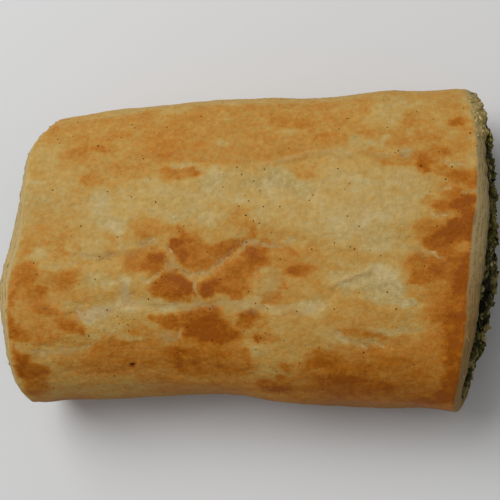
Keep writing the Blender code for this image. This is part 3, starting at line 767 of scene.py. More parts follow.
class Finish:
    """A material being built: its node tree, its shader and the helpers that add nodes to it."""

    def __init__(self, name):
        self.material = bpy.data.materials.new(name)
        self.material.use_nodes = True
        self.tree = self.material.node_tree
        self.shader = self.tree.nodes["Principled BSDF"]
        self.coordinates = self.tree.nodes.new("ShaderNodeTexCoord").outputs["Object"]

    def number(self, name):
        """The vertex number of this name."""
        return add_node(self.tree, "ShaderNodeAttribute", attribute_name=name).outputs["Fac"]

    def grain(self, size, octaves=3.0, stretch=1.0):
        """Noise from 0 to 1. Its grains are this size in metres, stretched this many times along the roll."""
        scale = (1 / (size * stretch), 1 / size, 1 / size)
        places = add_node(self.tree, "ShaderNodeMapping", [("Vector", self.coordinates), ("Scale", scale)])
        inputs = [("Vector", places.outputs["Vector"]), ("Scale", 1.0), ("Detail", octaves)]
        return add_node(self.tree, "ShaderNodeTexNoise", inputs).outputs["Fac"]

    def sum(self, kind, first, second=0.0, third=0.0):
        inputs = enumerate((first, second, third))
        return add_node(self.tree, "ShaderNodeMath", inputs, operation=kind).outputs["Value"]

    def times(self, first, second):
        return self.sum("MULTIPLY", first, second)

    def stir(self, value, grain, amount):
        """The value, moved up and down by this much of a grain that runs from 0 to 1."""
        return self.sum("MULTIPLY_ADD", self.sum("SUBTRACT", grain, 0.5), amount, value)

    def spread(self, value, low, high, to_low=0.0, to_high=1.0):
        """The value's range from low to high, stretched to another range, with nothing outside it."""
        sockets = ("Value", "From Min", "From Max", "To Min", "To Max")
        inputs = zip(sockets, (value, low, high, to_low, to_high))
        return add_node(self.tree, "ShaderNodeMapRange", inputs).outputs["Result"]

    def ramp(self, value, stops):
        """The colour at this value on a scale of (place, colour) stops."""
        node = add_node(self.tree, "ShaderNodeValToRGB", [("Fac", value)])
        elements = node.color_ramp.elements
        while len(elements) < len(stops):
            elements.new(0.5)
        for element, (place, colour) in zip(elements, stops):
            element.position = place
            element.color = colour
        return node.outputs["Color"]

    def blend(self, share, first, second):
        """The first colour where the share is 0, and the second where it is 1."""
        inputs = [("Factor", share), (6, first), (7, second)]
        return add_node(self.tree, "ShaderNodeMix", inputs, data_type="RGBA").outputs[2]

    def done(self, colour, roughness, shine=0.5, height=None, depth=0.0):
        """The finished material, shaded as if it rose by this depth in metres where the height is 1."""
        looks = {"Base Color": colour, "Roughness": roughness, "Specular IOR Level": shine}
        if height is not None:
            bump = add_node(self.tree, "ShaderNodeBump", [("Height", height), ("Distance", depth)])
            looks["Normal"] = bump.outputs["Normal"]
        for name, value in looks.items():
            join(self.tree, self.shader.inputs[name], value)
        return self.material


# %% [markdown]
# ### Baked pastry
#
# The scale of browning runs from cream through straw, gold and orange-brown to dark brown. Three sizes of
# grain are added to the number before it is looked up, so the tones break up finely as baked starch does.
# Torn lines are paler and drier, damp places let a little of the green filling through, and the cut edges
# are unbrowned dough. Painted shade darkens the lower front side, the gaps between the cut layers and the
# whole right cut, and the ridges of overlapped skin get a painted highlight with painted shade in front.

# %% The pastry's finish
BROWNING_SCALE = (
    (0.00, shade(202, 180, 130)),
    (0.15, shade(196, 169, 109)),
    (0.30, shade(193, 157, 88)),
    (0.45, shade(190, 142, 67)),
    (0.60, shade(186, 124, 47)),
    (0.75, shade(176, 107, 25)),
    (0.88, shade(164, 92, 9)),
    (1.00, shade(148, 75, 1)),
)
# The second colour is the pale crest of torn lines, and also the painted highlight along the ridges.
TORN_COLOUR, TEAR_AND_HIGHLIGHT_COLOUR = shade(184, 149, 89), shade(200, 166, 110)
# The deep colour darkens random mottles and is also the painted shade in front of the ridges; the last colour
# here is painted shade low on the front side.
DAMP_COLOUR, DEEP_MOTTLE_AND_SHADE, FRONT_SHADE_COLOUR = shade(168, 146, 90), shade(104, 78, 34), shade(112, 92, 50)
# The gap colours are painted shade in the narrow valleys between the cut layers.
CUT_CREST, CUT_GAP_SHADE = shade(182, 158, 106), shade(152, 125, 74)
# The first two colours are darker copies of the cut colours, painted shade for the right cut.
SHADED_RIGHT_CUT_CREST, SHADED_RIGHT_CUT_GAP, CUT_STAIN = shade(164, 143, 99), shade(136, 116, 76), shade(110, 98, 57)
TOASTED_CREST, TOASTED_GAP_SHADE = shade(142, 112, 66), shade(128, 98, 56)
FRAYED_COLOUR, FRAYED_SHADE = shade(196, 172, 126), shade(158, 126, 74)
CRUMB_SCALE = ((0.0, shade(124, 106, 58)), (0.5, shade(172, 149, 92)), (1.0, shade(198, 180, 124)))
CRACK_COLOUR, SCORCHED = shade(120, 78, 30), shade(38, 20, 6)


def crust_browning_level(finish, broad, fine, finest):
    """The browning of each vertex, broken up by three sizes of grain and by a faint web of paler lines."""
    bake = finish.number("bake")
    browning = finish.stir(0.5, bake, 1.12)
    for grain, amount in ((broad, 0.30), (fine, 0.42), (finest, 0.30)):
        browning = finish.stir(browning, grain, amount)
    web = finish.sum("ABSOLUTE", finish.sum("SUBTRACT", finish.grain(3.2 * MM, 3.0, stretch=1.5), 0.5))
    web = finish.spread(web, 0.004, 0.020, 1.0, 0.0)
    web = finish.times(web, finish.spread(bake, 0.45, 0.75, 0.02, 0.09))
    return finish.sum("SUBTRACT", browning, web)


def crust_colour(finish, browning, broad, fine, finest):
    """The crust with its damp, torn, frayed, cracked and scorched places, and its painted highlight and
    shade.
    """
    damp = finish.times(finish.number("damp"), finish.spread(fine, 0.35, 0.7, 0.15, 0.85))
    torn = finish.spread(finish.stir(finish.number("tear"), fine, 3.2), 0.5, 1.5, 1.0, 0.0)
    torn = finish.times(torn, finish.spread(finest, 0.3, 0.6, 0.25, 0.80))
    hair = finish.spread(finish.stir(finish.number("tear"), broad, 4.0), 0.10, 0.5, 1.0, 0.0)
    hair = finish.times(hair, finish.spread(fine, 0.38, 0.58, 0.15, 0.9))
    frayed = finish.times(finish.number("frayed"), finish.spread(broad, 0.3, 0.6, 0.5, 1.1))
    frayed = finish.times(frayed, finish.spread(fine, 0.3, 0.6, 0.6, 1.0))
    whitened = finish.times(finish.number("frayed"), 0.7)
    whitened = finish.sum("ADD", whitened, finish.sum("SUBTRACT", fine, 0.75))
    frayed_colour = finish.blend(finish.spread(whitened, 0.0, 0.6), FRAYED_SHADE, FRAYED_COLOUR)
    crack = finish.spread(finish.stir(finish.number("crack"), fine, 0.9), 0.05, 0.24, 0.5, 0.0)
    mottle = finish.sum("MULTIPLY_ADD", finest, 0.6, finish.grain(1.3 * MM, 3.0))
    layers = (
        (damp, DAMP_COLOUR),
        (torn, TORN_COLOUR),
        (hair, TEAR_AND_HIGHLIGHT_COLOUR),
        (frayed, frayed_colour),
        (crack, CRACK_COLOUR),
        (finish.spread(finish.number("scorch"), 0.3, 0.8), SCORCHED),
        # painted highlight on the ridges' crests, then painted shade in front of them
        (finish.times(finish.number("crest"), 0.5), TEAR_AND_HIGHLIGHT_COLOUR),
        (finish.times(finish.number("lee"), 0.2), DEEP_MOTTLE_AND_SHADE),
        # painted shade low on the front side
        (finish.times(finish.number("dull"), 0.35), FRONT_SHADE_COLOUR),
        (finish.spread(mottle, 0.55, 1.05, 0.24, 0.0), DEEP_MOTTLE_AND_SHADE),
    )
    colour = finish.ramp(browning, BROWNING_SCALE)
    for share, over in layers:
        colour = finish.blend(share, colour, over)
    return colour


def cut_colour(finish, cut_depth, broad, fine):
    """Cut layers: pale ridges, gaps and right cut in painted shade, stained near the filling, crumbly at the
    corner.
    """
    layers = finish.spread(finish.stir(finish.number("layer_ridge"), fine, 0.6), 0.25, 0.9)
    # painted shade in the gaps between layers
    cut = finish.blend(layers, CUT_GAP_SHADE, CUT_CREST)
    # the right cut painted darker as shade, then its front part toasted browner
    for name, gap, crest in (("soaked", SHADED_RIGHT_CUT_GAP, SHADED_RIGHT_CUT_CREST), ("toasted", TOASTED_GAP_SHADE, TOASTED_CREST)):
        cut = finish.blend(finish.number(name), cut, finish.blend(layers, gap, crest))
    stain = finish.sum("MULTIPLY_ADD", broad, 0.9, cut_depth)
    cut = finish.blend(finish.spread(stain, 1.0, 1.45, 0.0, 0.85), cut, CUT_STAIN)
    crumbs = finish.ramp(finish.stir(broad, fine, 1.6), CRUMB_SCALE)
    return finish.blend(finish.number("crumbly"), cut, crumbs)


def pastry_finish():
    finish = Finish("baked_pastry_crust")
    broad = finish.grain(2.6 * MM, 4.0, stretch=1.3)
    fine = finish.grain(0.9 * MM, 4.0, stretch=1.1)
    finest = finish.grain(0.3 * MM, 2.0)
    browning = crust_browning_level(finish, broad, fine, finest)
    crust = crust_colour(finish, browning, broad, fine, finest)
    cut_depth = finish.number("cut_depth")
    cut = cut_colour(finish, cut_depth, broad, fine)
    colour = finish.blend(finish.spread(cut_depth, 0.01, 0.06), crust, cut)
    roughness = finish.spread(browning, 0.2, 0.9, 0.70, 0.50)
    skin = finish.sum("MULTIPLY_ADD", finest, 0.5, fine)
    return finish.done(colour, roughness, 0.08, skin, 0.20 * MM)


wrapper.data.materials.append(pastry_finish())

# %% [markdown]
# ## The filling
#
# The filling is a block that was pressed into the wrapper's inside, so it starts as a divided cube. Its
# square ends are rounded to the wrapper's section, and each end is then roughened: broad lumps as in the
# solids, smaller lumps where chopped leaves clumped, and narrow pits between them. Geometry Nodes' Mesh
# Cube gives the divided block.

# %% A block divided by Geometry Nodes
def geometry_tree(name, inputs):
    """An empty Geometry Nodes tree with these named inputs and one geometry output."""
    tree = bpy.data.node_groups.new(name, "GeometryNodeTree")
    for label, kind in inputs.items():
        tree.interface.new_socket(name=label, in_out="INPUT", socket_type=kind)
    tree.interface.new_socket(name="Geometry", in_out="OUTPUT", socket_type="NodeSocketGeometry")
    given = tree.nodes.new("NodeGroupInput").outputs
    return tree, given, tree.nodes.new("NodeGroupOutput").inputs["Geometry"]


def run_tree(tree, mesh, settings):
    """The mesh that a tree makes from a mesh with these settings, as plain data with no modifier left."""
    holder = bpy.data.objects.new("holder", mesh)
    bpy.context.scene.collection.objects.link(holder)
    modifier = holder.modifiers.new("tree", "NODES")
    modifier.node_group = tree
    sockets = {item.name: item.identifier for item in tree.interface.items_tree if item.in_out == "INPUT"}
    for label, value in settings.items():
        modifier[sockets[label]] = value
    graph = bpy.context.evaluated_depsgraph_get()
    made = bpy.data.meshes.new_from_object(holder.evaluated_get(graph), depsgraph=graph)
    bpy.data.objects.remove(holder)
    return made


def block_tree():
    tree, given, result = geometry_tree(
        "divided_block", {"Across": "NodeSocketInt", "Up": "NodeSocketInt", "Along": "NodeSocketInt"}
    )
    inputs = [("Vertices X", given["Across"]), ("Vertices Y", given["Up"]), ("Vertices Z", given["Along"])]
    cube = add_node(tree, "GeometryNodeMeshCube", [("Size", (2.0, 2.0, 2.0)), *inputs])
    tree.links.new(cube.outputs["Mesh"], result)
    return tree


block = run_tree(block_tree(), bpy.data.meshes.new("empty"), {"Across": 181, "Up": 85, "Along": 7})
block_points = np.array([vertex.co[:] for vertex in block.vertices])
block_faces = [tuple(polygon.vertices) for polygon in block.polygons]
print("filling block:", len(block_points), "points,", len(block_faces), "faces")

# %% Press the block into the wrapper
FIT_GAP = 0.4 * MM
FILLING_BULGE_LEFT, FILLING_BULGE_RIGHT = 0.4 * MM, 1.5 * MM
RIGHT_SINK = np.array([0.2, 0.6, 0.3, -0.2, 0.1, -0.2, 0.0]) * MM
LUMP_SIZE, LUMP_HEIGHT = 6.8 * MM, 2.4 * MM
GRAIN_SIZE, GRAIN_HEIGHT = 3.8 * MM, 1.0 * MM
CLUMP_SIZE, CLUMP_HEIGHT = 2.4 * MM, 1.3 * MM
PIT_DEPTH = 1.3 * MM
RIM_GAP = 1.2 * MM
HOLLOW_AT, HOLLOW_SIZE, HOLLOW_DEPTH = (-16.0 * MM, 26.0 * MM), (7.0 * MM, 4.5 * MM), 2.6 * MM
CURD_SHARE = 0.20
ROUGH_HEIGHT, HEIGHT_SHOWN, SOFT_LIMIT = 0.35 * MM, 2.4 * MM, 0.25 * MM


def cell_noise(x, y, z):
    """Distance from every place to the nearest cell point and to the next, and its cell's random number."""
    nearest, second, lot = [], [], []
    for place in np.stack(np.broadcast_arrays(x, y, z), axis=-1).reshape(-1, 3).tolist():
        distances, points = noise.voronoi(place)
        nearest.append(distances[0])
        second.append(distances[1])
        lot.append(noise.cell(points[0] * 57.0))
    return (np.array(values).reshape(np.shape(x)) for values in (nearest, second, lot))


def filling_face(angle, reach, right):
    """x of the filling's open face, its height above a smooth face in shares, and how much of it is curd."""
    rim_y, rim_z = section_point(angle, np.zeros_like(angle))
    y, z = rim_y * reach, WIDEST_AT + (rim_z - WIDEST_AT) * reach
    side = np.full_like(y, 7.0 if right else 2.0)
    lumps, _, _ = cell_noise(y / LUMP_SIZE, z / LUMP_SIZE, side)
    broad = LUMP_HEIGHT * (0.45 - lumps) + GRAIN_HEIGHT * noise_at(y / GRAIN_SIZE, z / GRAIN_SIZE, side)
    bent_y, bent_z = wander(y, z, 2.5 * MM, 0.7 * MM, 33.0 + side[0])
    clump, next_clump, lot = cell_noise(bent_y / CLUMP_SIZE, bent_z / CLUMP_SIZE, side)
    rim = smooth_step((1 - reach) / 0.05)
    pit = np.exp(-(((next_clump - clump) / 0.10) ** 2)) * smooth_step(0.5 + noise_mm(y, z, 0.0, 4, 4, 5.0))
    rough = noise_mm(y, z, 0.0, 0.9, 0.9, side, 3)
    fine = rim * (CLUMP_HEIGHT * (0.3 - clump) - PIT_DEPTH * pit + ROUGH_HEIGHT * rough)
    gap = np.exp(-(((1 - reach) / 0.07) ** 2)) * smooth_step(0.6 + noise_mm(y, z, 0.0, 3, 3, 44.0, 2))
    fine = fine - RIM_GAP * gap
    if right:
        from_hollow = np.hypot((y - HOLLOW_AT[0]) / HOLLOW_SIZE[0], (z - HOLLOW_AT[1]) / HOLLOW_SIZE[1])
        fine = fine - HOLLOW_DEPTH * smooth_step(1.6 - from_hollow)
        broad = broad - smooth_curve(RIGHT_SINK, (unit_section(angle)[0] * reach + 1) / 2)
    bulge = (FILLING_BULGE_RIGHT if right else FILLING_BULGE_LEFT) * (1 - reach**4)
    one = np.ones_like(angle)
    middle = cut_edge(one[:1] * math.pi / 2, one[:1], right)[0]
    edge = cut_edge(angle, one, right)
    out = bulge + broad + fine
    curd = smooth_step((CURD_SHARE - (lot + 1) / 2) * 20) * (1 - pit)
    height = np.clip(0.5 + (fine + 0.5 * broad) / HEIGHT_SHOWN, 0.0, 1.0)
    return mix(middle, edge, reach**2) + (out if right else -out), height, curd


def within(x, limit, side):
    """x held gently inside a limit. The side is 1 for an upper limit and -1 for a lower one."""
    room = (limit - x) * side / SOFT_LIMIT
    return limit - side * SOFT_LIMIT * np.logaddexp(0.0, room)


def press_into_wrapper(points):
    across, up, way = points.T
    disc_y, disc_z = across * np.sqrt(1 - up * up / 2), up * np.sqrt(1 - across * across / 2)
    reach = np.minimum(1.0, np.hypot(disc_y, disc_z))
    angle = np.arctan2(disc_z, disc_y)
    left, left_height, left_curd = filling_face(angle, reach, False)
    right, right_height, right_curd = filling_face(angle, reach, True)
    left = within(left, -SHIFT[0] + box_low[0], -1)
    right = within(right, -SHIFT[0] + box_high[0], 1)
    x = mix(left, right, (way + 1) / 2)
    rim_y, rim_z = section_point(angle, x, WALL + FIT_GAP, BASE_WALL + FIT_GAP)
    placed = np.stack([x, rim_y * reach, WIDEST_AT + (rim_z - WIDEST_AT) * reach], axis=-1)
    on_face = (np.abs(way) > 0.99) * smooth_step((1 - reach) / 0.02)
    to_right = way > 0
    numbers = {
        # painted shade: the open face's height sets how dark its colour is
        "height": np.where(to_right, right_height, left_height),
        "curd": np.where(to_right, right_curd, left_curd),
        "open_face": on_face,
    }
    return placed + SHIFT, numbers


filling_points, filling_numbers = press_into_wrapper(block_points)
filling = make_object("filling_core", filling_points, block_faces, filling_numbers)

# %% [markdown]
# ### Spinach and cheese
#
# Chopped spinach cooks down to a dark, moist green. Its open faces are painted darker the lower they lie,
# as painted shade that is nearly black in the pits. The curds of cheese are pale, but the leaves stain
# them, so their colour leans to olive.

# %% The filling's finishes
# The low ends of these scales are painted shade in the filling's pits; the shreds and curds use them for
# their own tones.
LEAF_TONES_AND_PIT_SHADE = (
    (0.00, shade(16, 13, 3)),
    (0.35, shade(58, 54, 16)),
    (0.65, shade(104, 96, 38)),
    (1.00, shade(152, 140, 72)),
)
CURD_TONES_AND_PIT_SHADE = ((0.0, shade(98, 88, 48)), (0.5, shade(138, 124, 76)), (1.0, shade(170, 154, 104)))


def core_finish():
    finish = Finish("spinach_and_cheese")
    fine = finish.grain(0.7 * MM, 4.0)
    broad = finish.grain(3.0 * MM, 3.0)
    # painted shade: the lower a place on the open face, the darker its colour, nearly black in the pits
    tone = finish.stir(finish.number("height"), fine, 0.6)
    leaf = finish.ramp(finish.sum("MULTIPLY_ADD", broad, 0.3, finish.sum("SUBTRACT", tone, 0.2)), LEAF_TONES_AND_PIT_SHADE)
    colour = finish.blend(finish.number("curd"), leaf, finish.ramp(tone, CURD_TONES_AND_PIT_SHADE))
    return finish.done(colour, finish.spread(fine, 0.3, 0.7, 0.42, 0.65), 0.06, fine, 0.25 * MM)


def toned_finish(name, scale, rough, bump_depth):
    """A finish whose pieces each have their own tone, with a fine grain over it."""
    finish = Finish(name)
    fine = finish.grain(0.5 * MM, 3.0)
    tone = finish.stir(finish.number("tone"), fine, 0.5)
    return finish.done(finish.ramp(tone, scale), rough, 0.06, fine, bump_depth)


filling.data.materials.append(core_finish())
SPECK_SCALE = ((0.0, shade(56, 28, 8)), (1.0, shade(118, 66, 22)))
FLAKE_SCALE = ((0.0, shade(132, 108, 66)), (0.5, shade(160, 138, 94)), (1.0, shade(178, 157, 112)))
LEAF = toned_finish("spinach_leaf", LEAF_TONES_AND_PIT_SHADE, 0.50, 0.12 * MM)
CURD = toned_finish("cheese_curd", CURD_TONES_AND_PIT_SHADE, 0.55, 0.15 * MM)
CRUMB = toned_finish("corner_crumb", CRUMB_SCALE, 0.65, 0.15 * MM)
SPECK = toned_finish("scorched_speck", SPECK_SCALE, 0.6, 0.05 * MM)
FLAKE = toned_finish("pastry_flake", FLAKE_SCALE, 0.6, 0.06 * MM)

# %% [markdown]
# ## Small pieces
#
# Five kinds of small piece are scattered: shreds of leaf and curds of cheese on the open faces, crumbs at
# the back corners of the cuts, flakes of pastry along the cuts, and scorched specks on the crust. Each kind
# starts as a few pieces with few faces. One Geometry Nodes tree scatters any of them over any
# mesh: it puts points on the faces, picks a piece for each, turns it to the surface and to a stored grain
# direction, sinks it a little and gives it a tone of its own.

# %% Shapes of the small pieces
def piece_object(name, work, group):
    mesh = bpy.data.meshes.new(name)
    bmesh.ops.recalc_face_normals(work, faces=work.faces)
    work.to_mesh(mesh)
    work.free()
    made = bpy.data.objects.new(name, mesh)
    group.objects.link(made)
    return made


def thin_strip(name, group, length, breadth, thickness, curl, ragged, seed):
    """A thin curled strip with an uneven outline, such as a shred of leaf or a flake of pastry."""
    work = bmesh.new()
    bmesh.ops.create_grid(work, x_segments=5, y_segments=2, size=1.0)
    for vertex in work.verts:
        along, across = vertex.co.x, vertex.co.y
        uneven = noise.noise((along * 1.7, seed * 3.1, 0.0))
        taper = (1 - abs(along) ** 3 * 0.6) * (1 + ragged * uneven)
        vertex.co.x = length / 2 * along * (1 + 0.15 * across * uneven)
        vertex.co.y = breadth / 2 * across * taper + 0.25 * breadth * noise.noise((along, seed * 1.3, 4.0))
        curled = noise.noise((along * 1.2, across * 0.6, seed * 2.3))
        vertex.co.z = curl * curled + 0.4 * curl * across * across
    bmesh.ops.solidify(work, geom=work.faces[:], thickness=thickness)
    return piece_object(name, work, group)


def lump(name, group, size, uneven, flat, seed, rounds=2):
    """A lump such as a curd or a crumb: a ball pushed in and out by noise."""
    work = bmesh.new()
    bmesh.ops.create_icosphere(work, subdivisions=rounds, radius=1.0)
    for vertex in work.verts:
        x, y, z = vertex.co
        broad = noise.noise((1.2 * x + seed, 1.2 * y, 1.2 * z))
        fine = noise.noise((3 * x, 3 * y, seed))
        vertex.co *= size / 2 * (1 + uneven * broad + 0.5 * uneven * fine)
        vertex.co.z *= flat
    return piece_object(name, work, group)


def piece_group(name, maker, count, **sizes):
    group = bpy.data.collections.new(name)
    for seed in range(count):
        maker(f"{name}_{seed}", group, seed=seed + 1.0, **sizes)
    return group


leaf_shreds = piece_group(
    "leaf_shreds", thin_strip, 5,
    length=2.6 * MM, breadth=1.1 * MM, thickness=0.20 * MM, curl=0.6 * MM, ragged=0.9,
)
curds = piece_group("curds", lump, 6, size=2.0 * MM, uneven=0.8, flat=0.7)
crumb_bits = piece_group("crumb_bits", lump, 6, size=1.1 * MM, uneven=1.1, flat=0.8)
flakes = piece_group(
    "flakes", thin_strip, 5,
    length=2.6 * MM, breadth=0.8 * MM, thickness=0.10 * MM, curl=0.2 * MM, ragged=0.6,
)
specks = piece_group("specks", lump, 3, size=0.36 * MM, uneven=0.9, flat=0.3, rounds=1)

# %% The scattering tree
SCATTER_INPUTS = {
    "Geometry": "NodeSocketGeometry",
    "Pieces": "NodeSocketCollection",
    "Where": "NodeSocketString",
    "Per Square Metre": "NodeSocketFloat",
    "Smallest": "NodeSocketFloat",
    "Largest": "NodeSocketFloat",
    "Raise": "NodeSocketFloat",
    "Tilt": "NodeSocketFloat",
    "Spin": "NodeSocketFloat",
    "Seed": "NodeSocketInt",
    "Surface": "NodeSocketMaterial",
}


def scatter_tree():
    tree, given, result = geometry_tree("scatter_pieces", SCATTER_INPUTS)

    def node(kind, inputs=(), **settings):
        return add_node(tree, kind, inputs, **settings)

    def times(first, second):
        return node("ShaderNodeMath", [(0, first), (1, second)], operation="MULTIPLY").outputs[0]

    def random(kind, low, high, offset):
        """A random value for each point, its seed this much past the tree's own."""
        seed = node("FunctionNodeIntegerMath", [(0, given["Seed"]), (1, offset)], operation="ADD")
        made = node("FunctionNodeRandomValue", [("Seed", seed.outputs[0])], data_type=kind)
        ends = [socket for socket in made.inputs if socket.enabled and socket.name in ("Min", "Max")]
        for socket, value in zip(ends, (low, high)):
            join(tree, socket, value)
        return next(socket for socket in made.outputs if socket.enabled)

    def store(geometry, name, value, kind):
        """The geometry with a named number for each instance."""
        inputs = [("Geometry", geometry), ("Name", name), ("Value", value)]
        made = node("GeometryNodeStoreNamedAttribute", inputs, data_type=kind, domain="INSTANCE")
        return made.outputs["Geometry"]

    where = node("GeometryNodeInputNamedAttribute", [("Name", given["Where"])], data_type="FLOAT")
    density = times(where.outputs["Attribute"], given["Per Square Metre"])
    points = node(
        "GeometryNodeDistributePointsOnFaces",
        [("Mesh", given["Geometry"]), ("Density", density), ("Seed", given["Seed"])],
    )
    grain = node("GeometryNodeInputNamedAttribute", [("Name", "grain")], data_type="FLOAT_VECTOR")
    along_grain = node(
        "FunctionNodeAlignRotationToVector",
        [("Rotation", points.outputs["Rotation"]), ("Vector", grain.outputs["Attribute"])],
        axis="X",
        pivot_axis="Z",
    )
    limits = (given["Tilt"], given["Tilt"], given["Spin"])
    turn = [(axis, random("FLOAT", times(most, -1.0), most, axis + 1)) for axis, most in enumerate(limits)]
    rotation = node("FunctionNodeEulerToRotation", [(0, node("ShaderNodeCombineXYZ", turn).outputs[0])])
    turned = node(
        "FunctionNodeRotateRotation",
        [("Rotation", along_grain.outputs["Rotation"]), ("Rotate By", rotation.outputs["Rotation"])],
        rotation_space="LOCAL",
    )
    raised = node(
        "ShaderNodeVectorMath", [(0, points.outputs["Normal"]), ("Scale", given["Raise"])], operation="SCALE"
    )
    placed = node(
        "GeometryNodeSetPosition",
        [("Geometry", points.outputs["Points"]), ("Offset", raised.outputs["Vector"])],
    )
    pieces = node(
        "GeometryNodeCollectionInfo",
        [("Collection", given["Pieces"]), ("Separate Children", True), ("Reset Children", True)],
    )
    instances = node(
        "GeometryNodeInstanceOnPoints",
        [
            ("Points", placed.outputs["Geometry"]),
            ("Instance", pieces.outputs["Instances"]),
            ("Pick Instance", True),
            ("Instance Index", random("INT", 0, 1000, 4)),
            ("Rotation", turned.outputs["Rotation"]),
            ("Scale", random("FLOAT", given["Smallest"], given["Largest"], 5)),
        ],
    )
    toned = store(instances.outputs["Instances"], "tone", random("FLOAT", 0.0, 1.0, 6), "FLOAT")
    counted = store(toned, "piece", node("GeometryNodeInputIndex").outputs["Index"], "INT")
    realized = node("GeometryNodeRealizeInstances", [("Geometry", counted)])
    surfaced = node(
        "GeometryNodeSetMaterial",
        [("Geometry", realized.outputs["Geometry"]), ("Material", given["Surface"])],
    )
    tree.links.new(surfaced.outputs["Geometry"], result)
    return tree


SCATTER = scatter_tree()


def slide_inside(mesh):
    """Slides every small piece that sticks out past the solids' box straight back inside it."""
    points = np.empty(3 * len(mesh.vertices))
    mesh.vertices.foreach_get("co", points)
    points = points.reshape(-1, 3)
    piece = np.empty(len(points), dtype=np.int32)
    mesh.attributes["piece"].data.foreach_get("value", piece)
    low, high = np.full((piece.max() + 1, 3), np.inf), np.full((piece.max() + 1, 3), -np.inf)
    np.minimum.at(low, piece, points)
    np.maximum.at(high, piece, points)
    back = np.clip(np.array(box_low) - low, 0, None) + np.clip(np.array(box_high) - high, None, 0)
    mesh.vertices.foreach_set("co", (points + back[piece]).ravel())
    mesh.attributes.remove(mesh.attributes["piece"])
    mesh.update()


def scatter(name, ground, where, pieces, surface, per_mm2, smallest, largest, rise, tilt, spin, seed):
    """Scatters pieces over an object where its vertex number says, and returns them as one mesh object."""
    values = (pieces, where, per_mm2 / MM**2, smallest, largest, rise, tilt, spin, seed, surface)
    mesh = run_tree(SCATTER, ground.data, dict(zip(list(SCATTER_INPUTS)[1:], values)))
    slide_inside(mesh)
    mesh.name = name
    return show(name, mesh)


# %% Where the small pieces go
def add_grain(mesh, directions):
    """Gives every vertex the direction that small pieces lie along."""
    grain = mesh.attributes.new("grain", "FLOAT_VECTOR", "POINT")
    grain.data.foreach_set("vector", np.ravel(directions).astype(np.float32))


round_the_roll = np.stack([np.zeros_like(grid_y), -(grid_z - WIDEST_AT), grid_y], axis=-1)
add_grain(wrapper.data, round_the_roll)
add_grain(filling.data, np.tile((0.0, 1.0, 0.0), (len(filling_points), 1)))
in_cut = (cut_depth > 0.12) & (cut_depth < 0.98)
above_foot = smooth_step((grid_z - 12 * MM) / (6 * MM)) * (cut_depth == 0.0)
clustered = 0.4 + 1.2 * np.maximum(0.0, noise_mm(grid_x, grid_y, 0.0, 15, 15, 30.0))
add_numbers(wrapper.data, {"flaky": in_cut, "crumbed": crumbly * in_cut, "specked": above_foot * clustered})

# %% Scatter them
ANY_WAY = 3.14  # the spin of a piece that lies any way round
SUNK = -0.35 * MM  # shreds and curds stick in the filling
# The numbers are: how many on a square millimetre, smallest and largest scale, rise, tilt, spin and seed.
shreds = scatter(
    "spinach_shreds", filling, "open_face", leaf_shreds, LEAF, 0.50, 0.4, 1.1, SUNK, 0.35, ANY_WAY, 11
)
cheese = scatter("cheese_curds", filling, "open_face", curds, CURD, 0.08, 0.3, 1.0, SUNK, 0.6, ANY_WAY, 5)
crumbs = scatter(
    "corner_crumbs", wrapper, "crumbed", crumb_bits, CRUMB, 0.9, 0.25, 0.9, -0.05 * MM, 0.6, ANY_WAY, 15
)
loose_flakes = scatter(
    "pastry_flakes", wrapper, "flaky", flakes, FLAKE, 0.05, 0.3, 0.8, 0.02 * MM, 0.12, 0.3, 23
)
scorched = scatter(
    "scorched_specks", wrapper, "specked", specks, SPECK, 0.070, 0.3, 1.3, 0.0, 0.2, ANY_WAY, 3
)

# %% [markdown]
# ## Floor, light and camera
#
# The roll lies on a plain pale floor. A large soft light hangs high above it, a little behind and to the
# left, so the front side and the right cut fall into soft shade, and an even pale sky fills the shadows.

# %% Stage
ROLL_MIDDLE = Vector((0.0, 0.0, 0.017))
FLOOR_COLOUR = (0.68, 0.68, 0.68, 1.0)
WINDOW_AT, WINDOW_SIZE, WINDOW_POWER = Vector((-0.31, 0.27, 0.67)), 0.62, 4.85
SKY_STRENGTH = 0.325


def add_floor():
    bpy.ops.mesh.primitive_plane_add(size=3.0)
    floor = bpy.context.object
    floor.name = "studio_floor"
    floor.data.materials.append(Finish("pale_floor").done(FLOOR_COLOUR, 0.9))


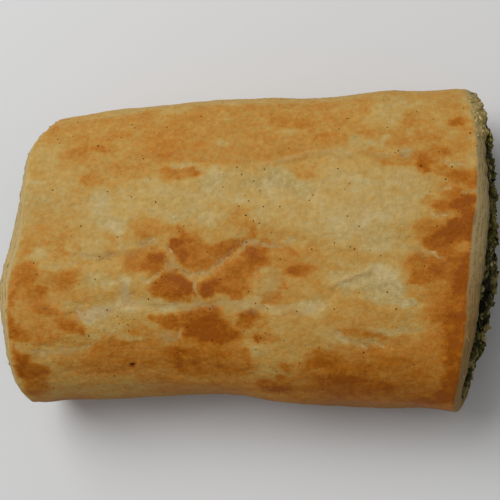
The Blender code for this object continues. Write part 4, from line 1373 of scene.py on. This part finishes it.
def add_soft_light(name, place, size, power):
    """A square area light that faces the roll."""
    light = bpy.data.lights.new(name, "AREA")
    light.size = size
    light.energy = power
    holder = bpy.data.objects.new(name, light)
    holder.location = place
    aim = ROLL_MIDDLE - holder.location
    holder.rotation_euler = aim.to_track_quat("-Z", "Y").to_euler()
    bpy.context.scene.collection.objects.link(holder)


add_floor()
add_soft_light("window_light", WINDOW_AT, WINDOW_SIZE, WINDOW_POWER)
world = bpy.data.worlds.new("pale_sky")
world.use_nodes = True
sky = world.node_tree.nodes["Background"]
sky.inputs["Color"].default_value = (1.0, 1.0, 1.0, 1.0)
sky.inputs["Strength"].default_value = SKY_STRENGTH
bpy.context.scene.world = world
bpy.context.scene.view_settings.view_transform = "Standard"

# %% Camera
CAMERA_AT = Vector((63.13, -49.26, 288.2)) * MM
LOOKS_AT = Vector((-0.17, -0.32, 17.0)) * MM
CAMERA_ROLL = 0.041
FOCAL_WIDTHS = 2.4492  # focal length as a multiple of the picture's width


def add_camera():
    camera = bpy.data.cameras.new("camera")
    camera.sensor_width = 36.0
    camera.lens = camera.sensor_width * FOCAL_WIDTHS
    camera.clip_start = 0.01
    forward = (LOOKS_AT - CAMERA_AT).normalized()
    level = forward.cross(Vector((0.0, 1.0, 0.0))).normalized()
    upright = level.cross(forward)
    right = math.cos(CAMERA_ROLL) * level + math.sin(CAMERA_ROLL) * upright
    up = right.cross(forward)
    holder = bpy.data.objects.new("camera", camera)
    holder.matrix_world = Matrix.Translation(CAMERA_AT) @ Matrix((right, up, -forward)).transposed().to_4x4()
    bpy.context.scene.collection.objects.link(holder)
    bpy.context.scene.camera = holder


add_camera()

# %% Join the pieces to the frame
PIECES = (
    (wrapper, "baked_pastry"),
    (loose_flakes, "baked_pastry"),
    (scorched, "baked_pastry"),
    (filling, "spinach_cheese_filling"),
    (shreds, "spinach_cheese_filling"),
    (cheese, "spinach_cheese_filling"),
    (crumbs, "baked_pastry"),
)
for piece, slot in PIECES:
    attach(piece, "root")
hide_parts("pastry")
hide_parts("filling")
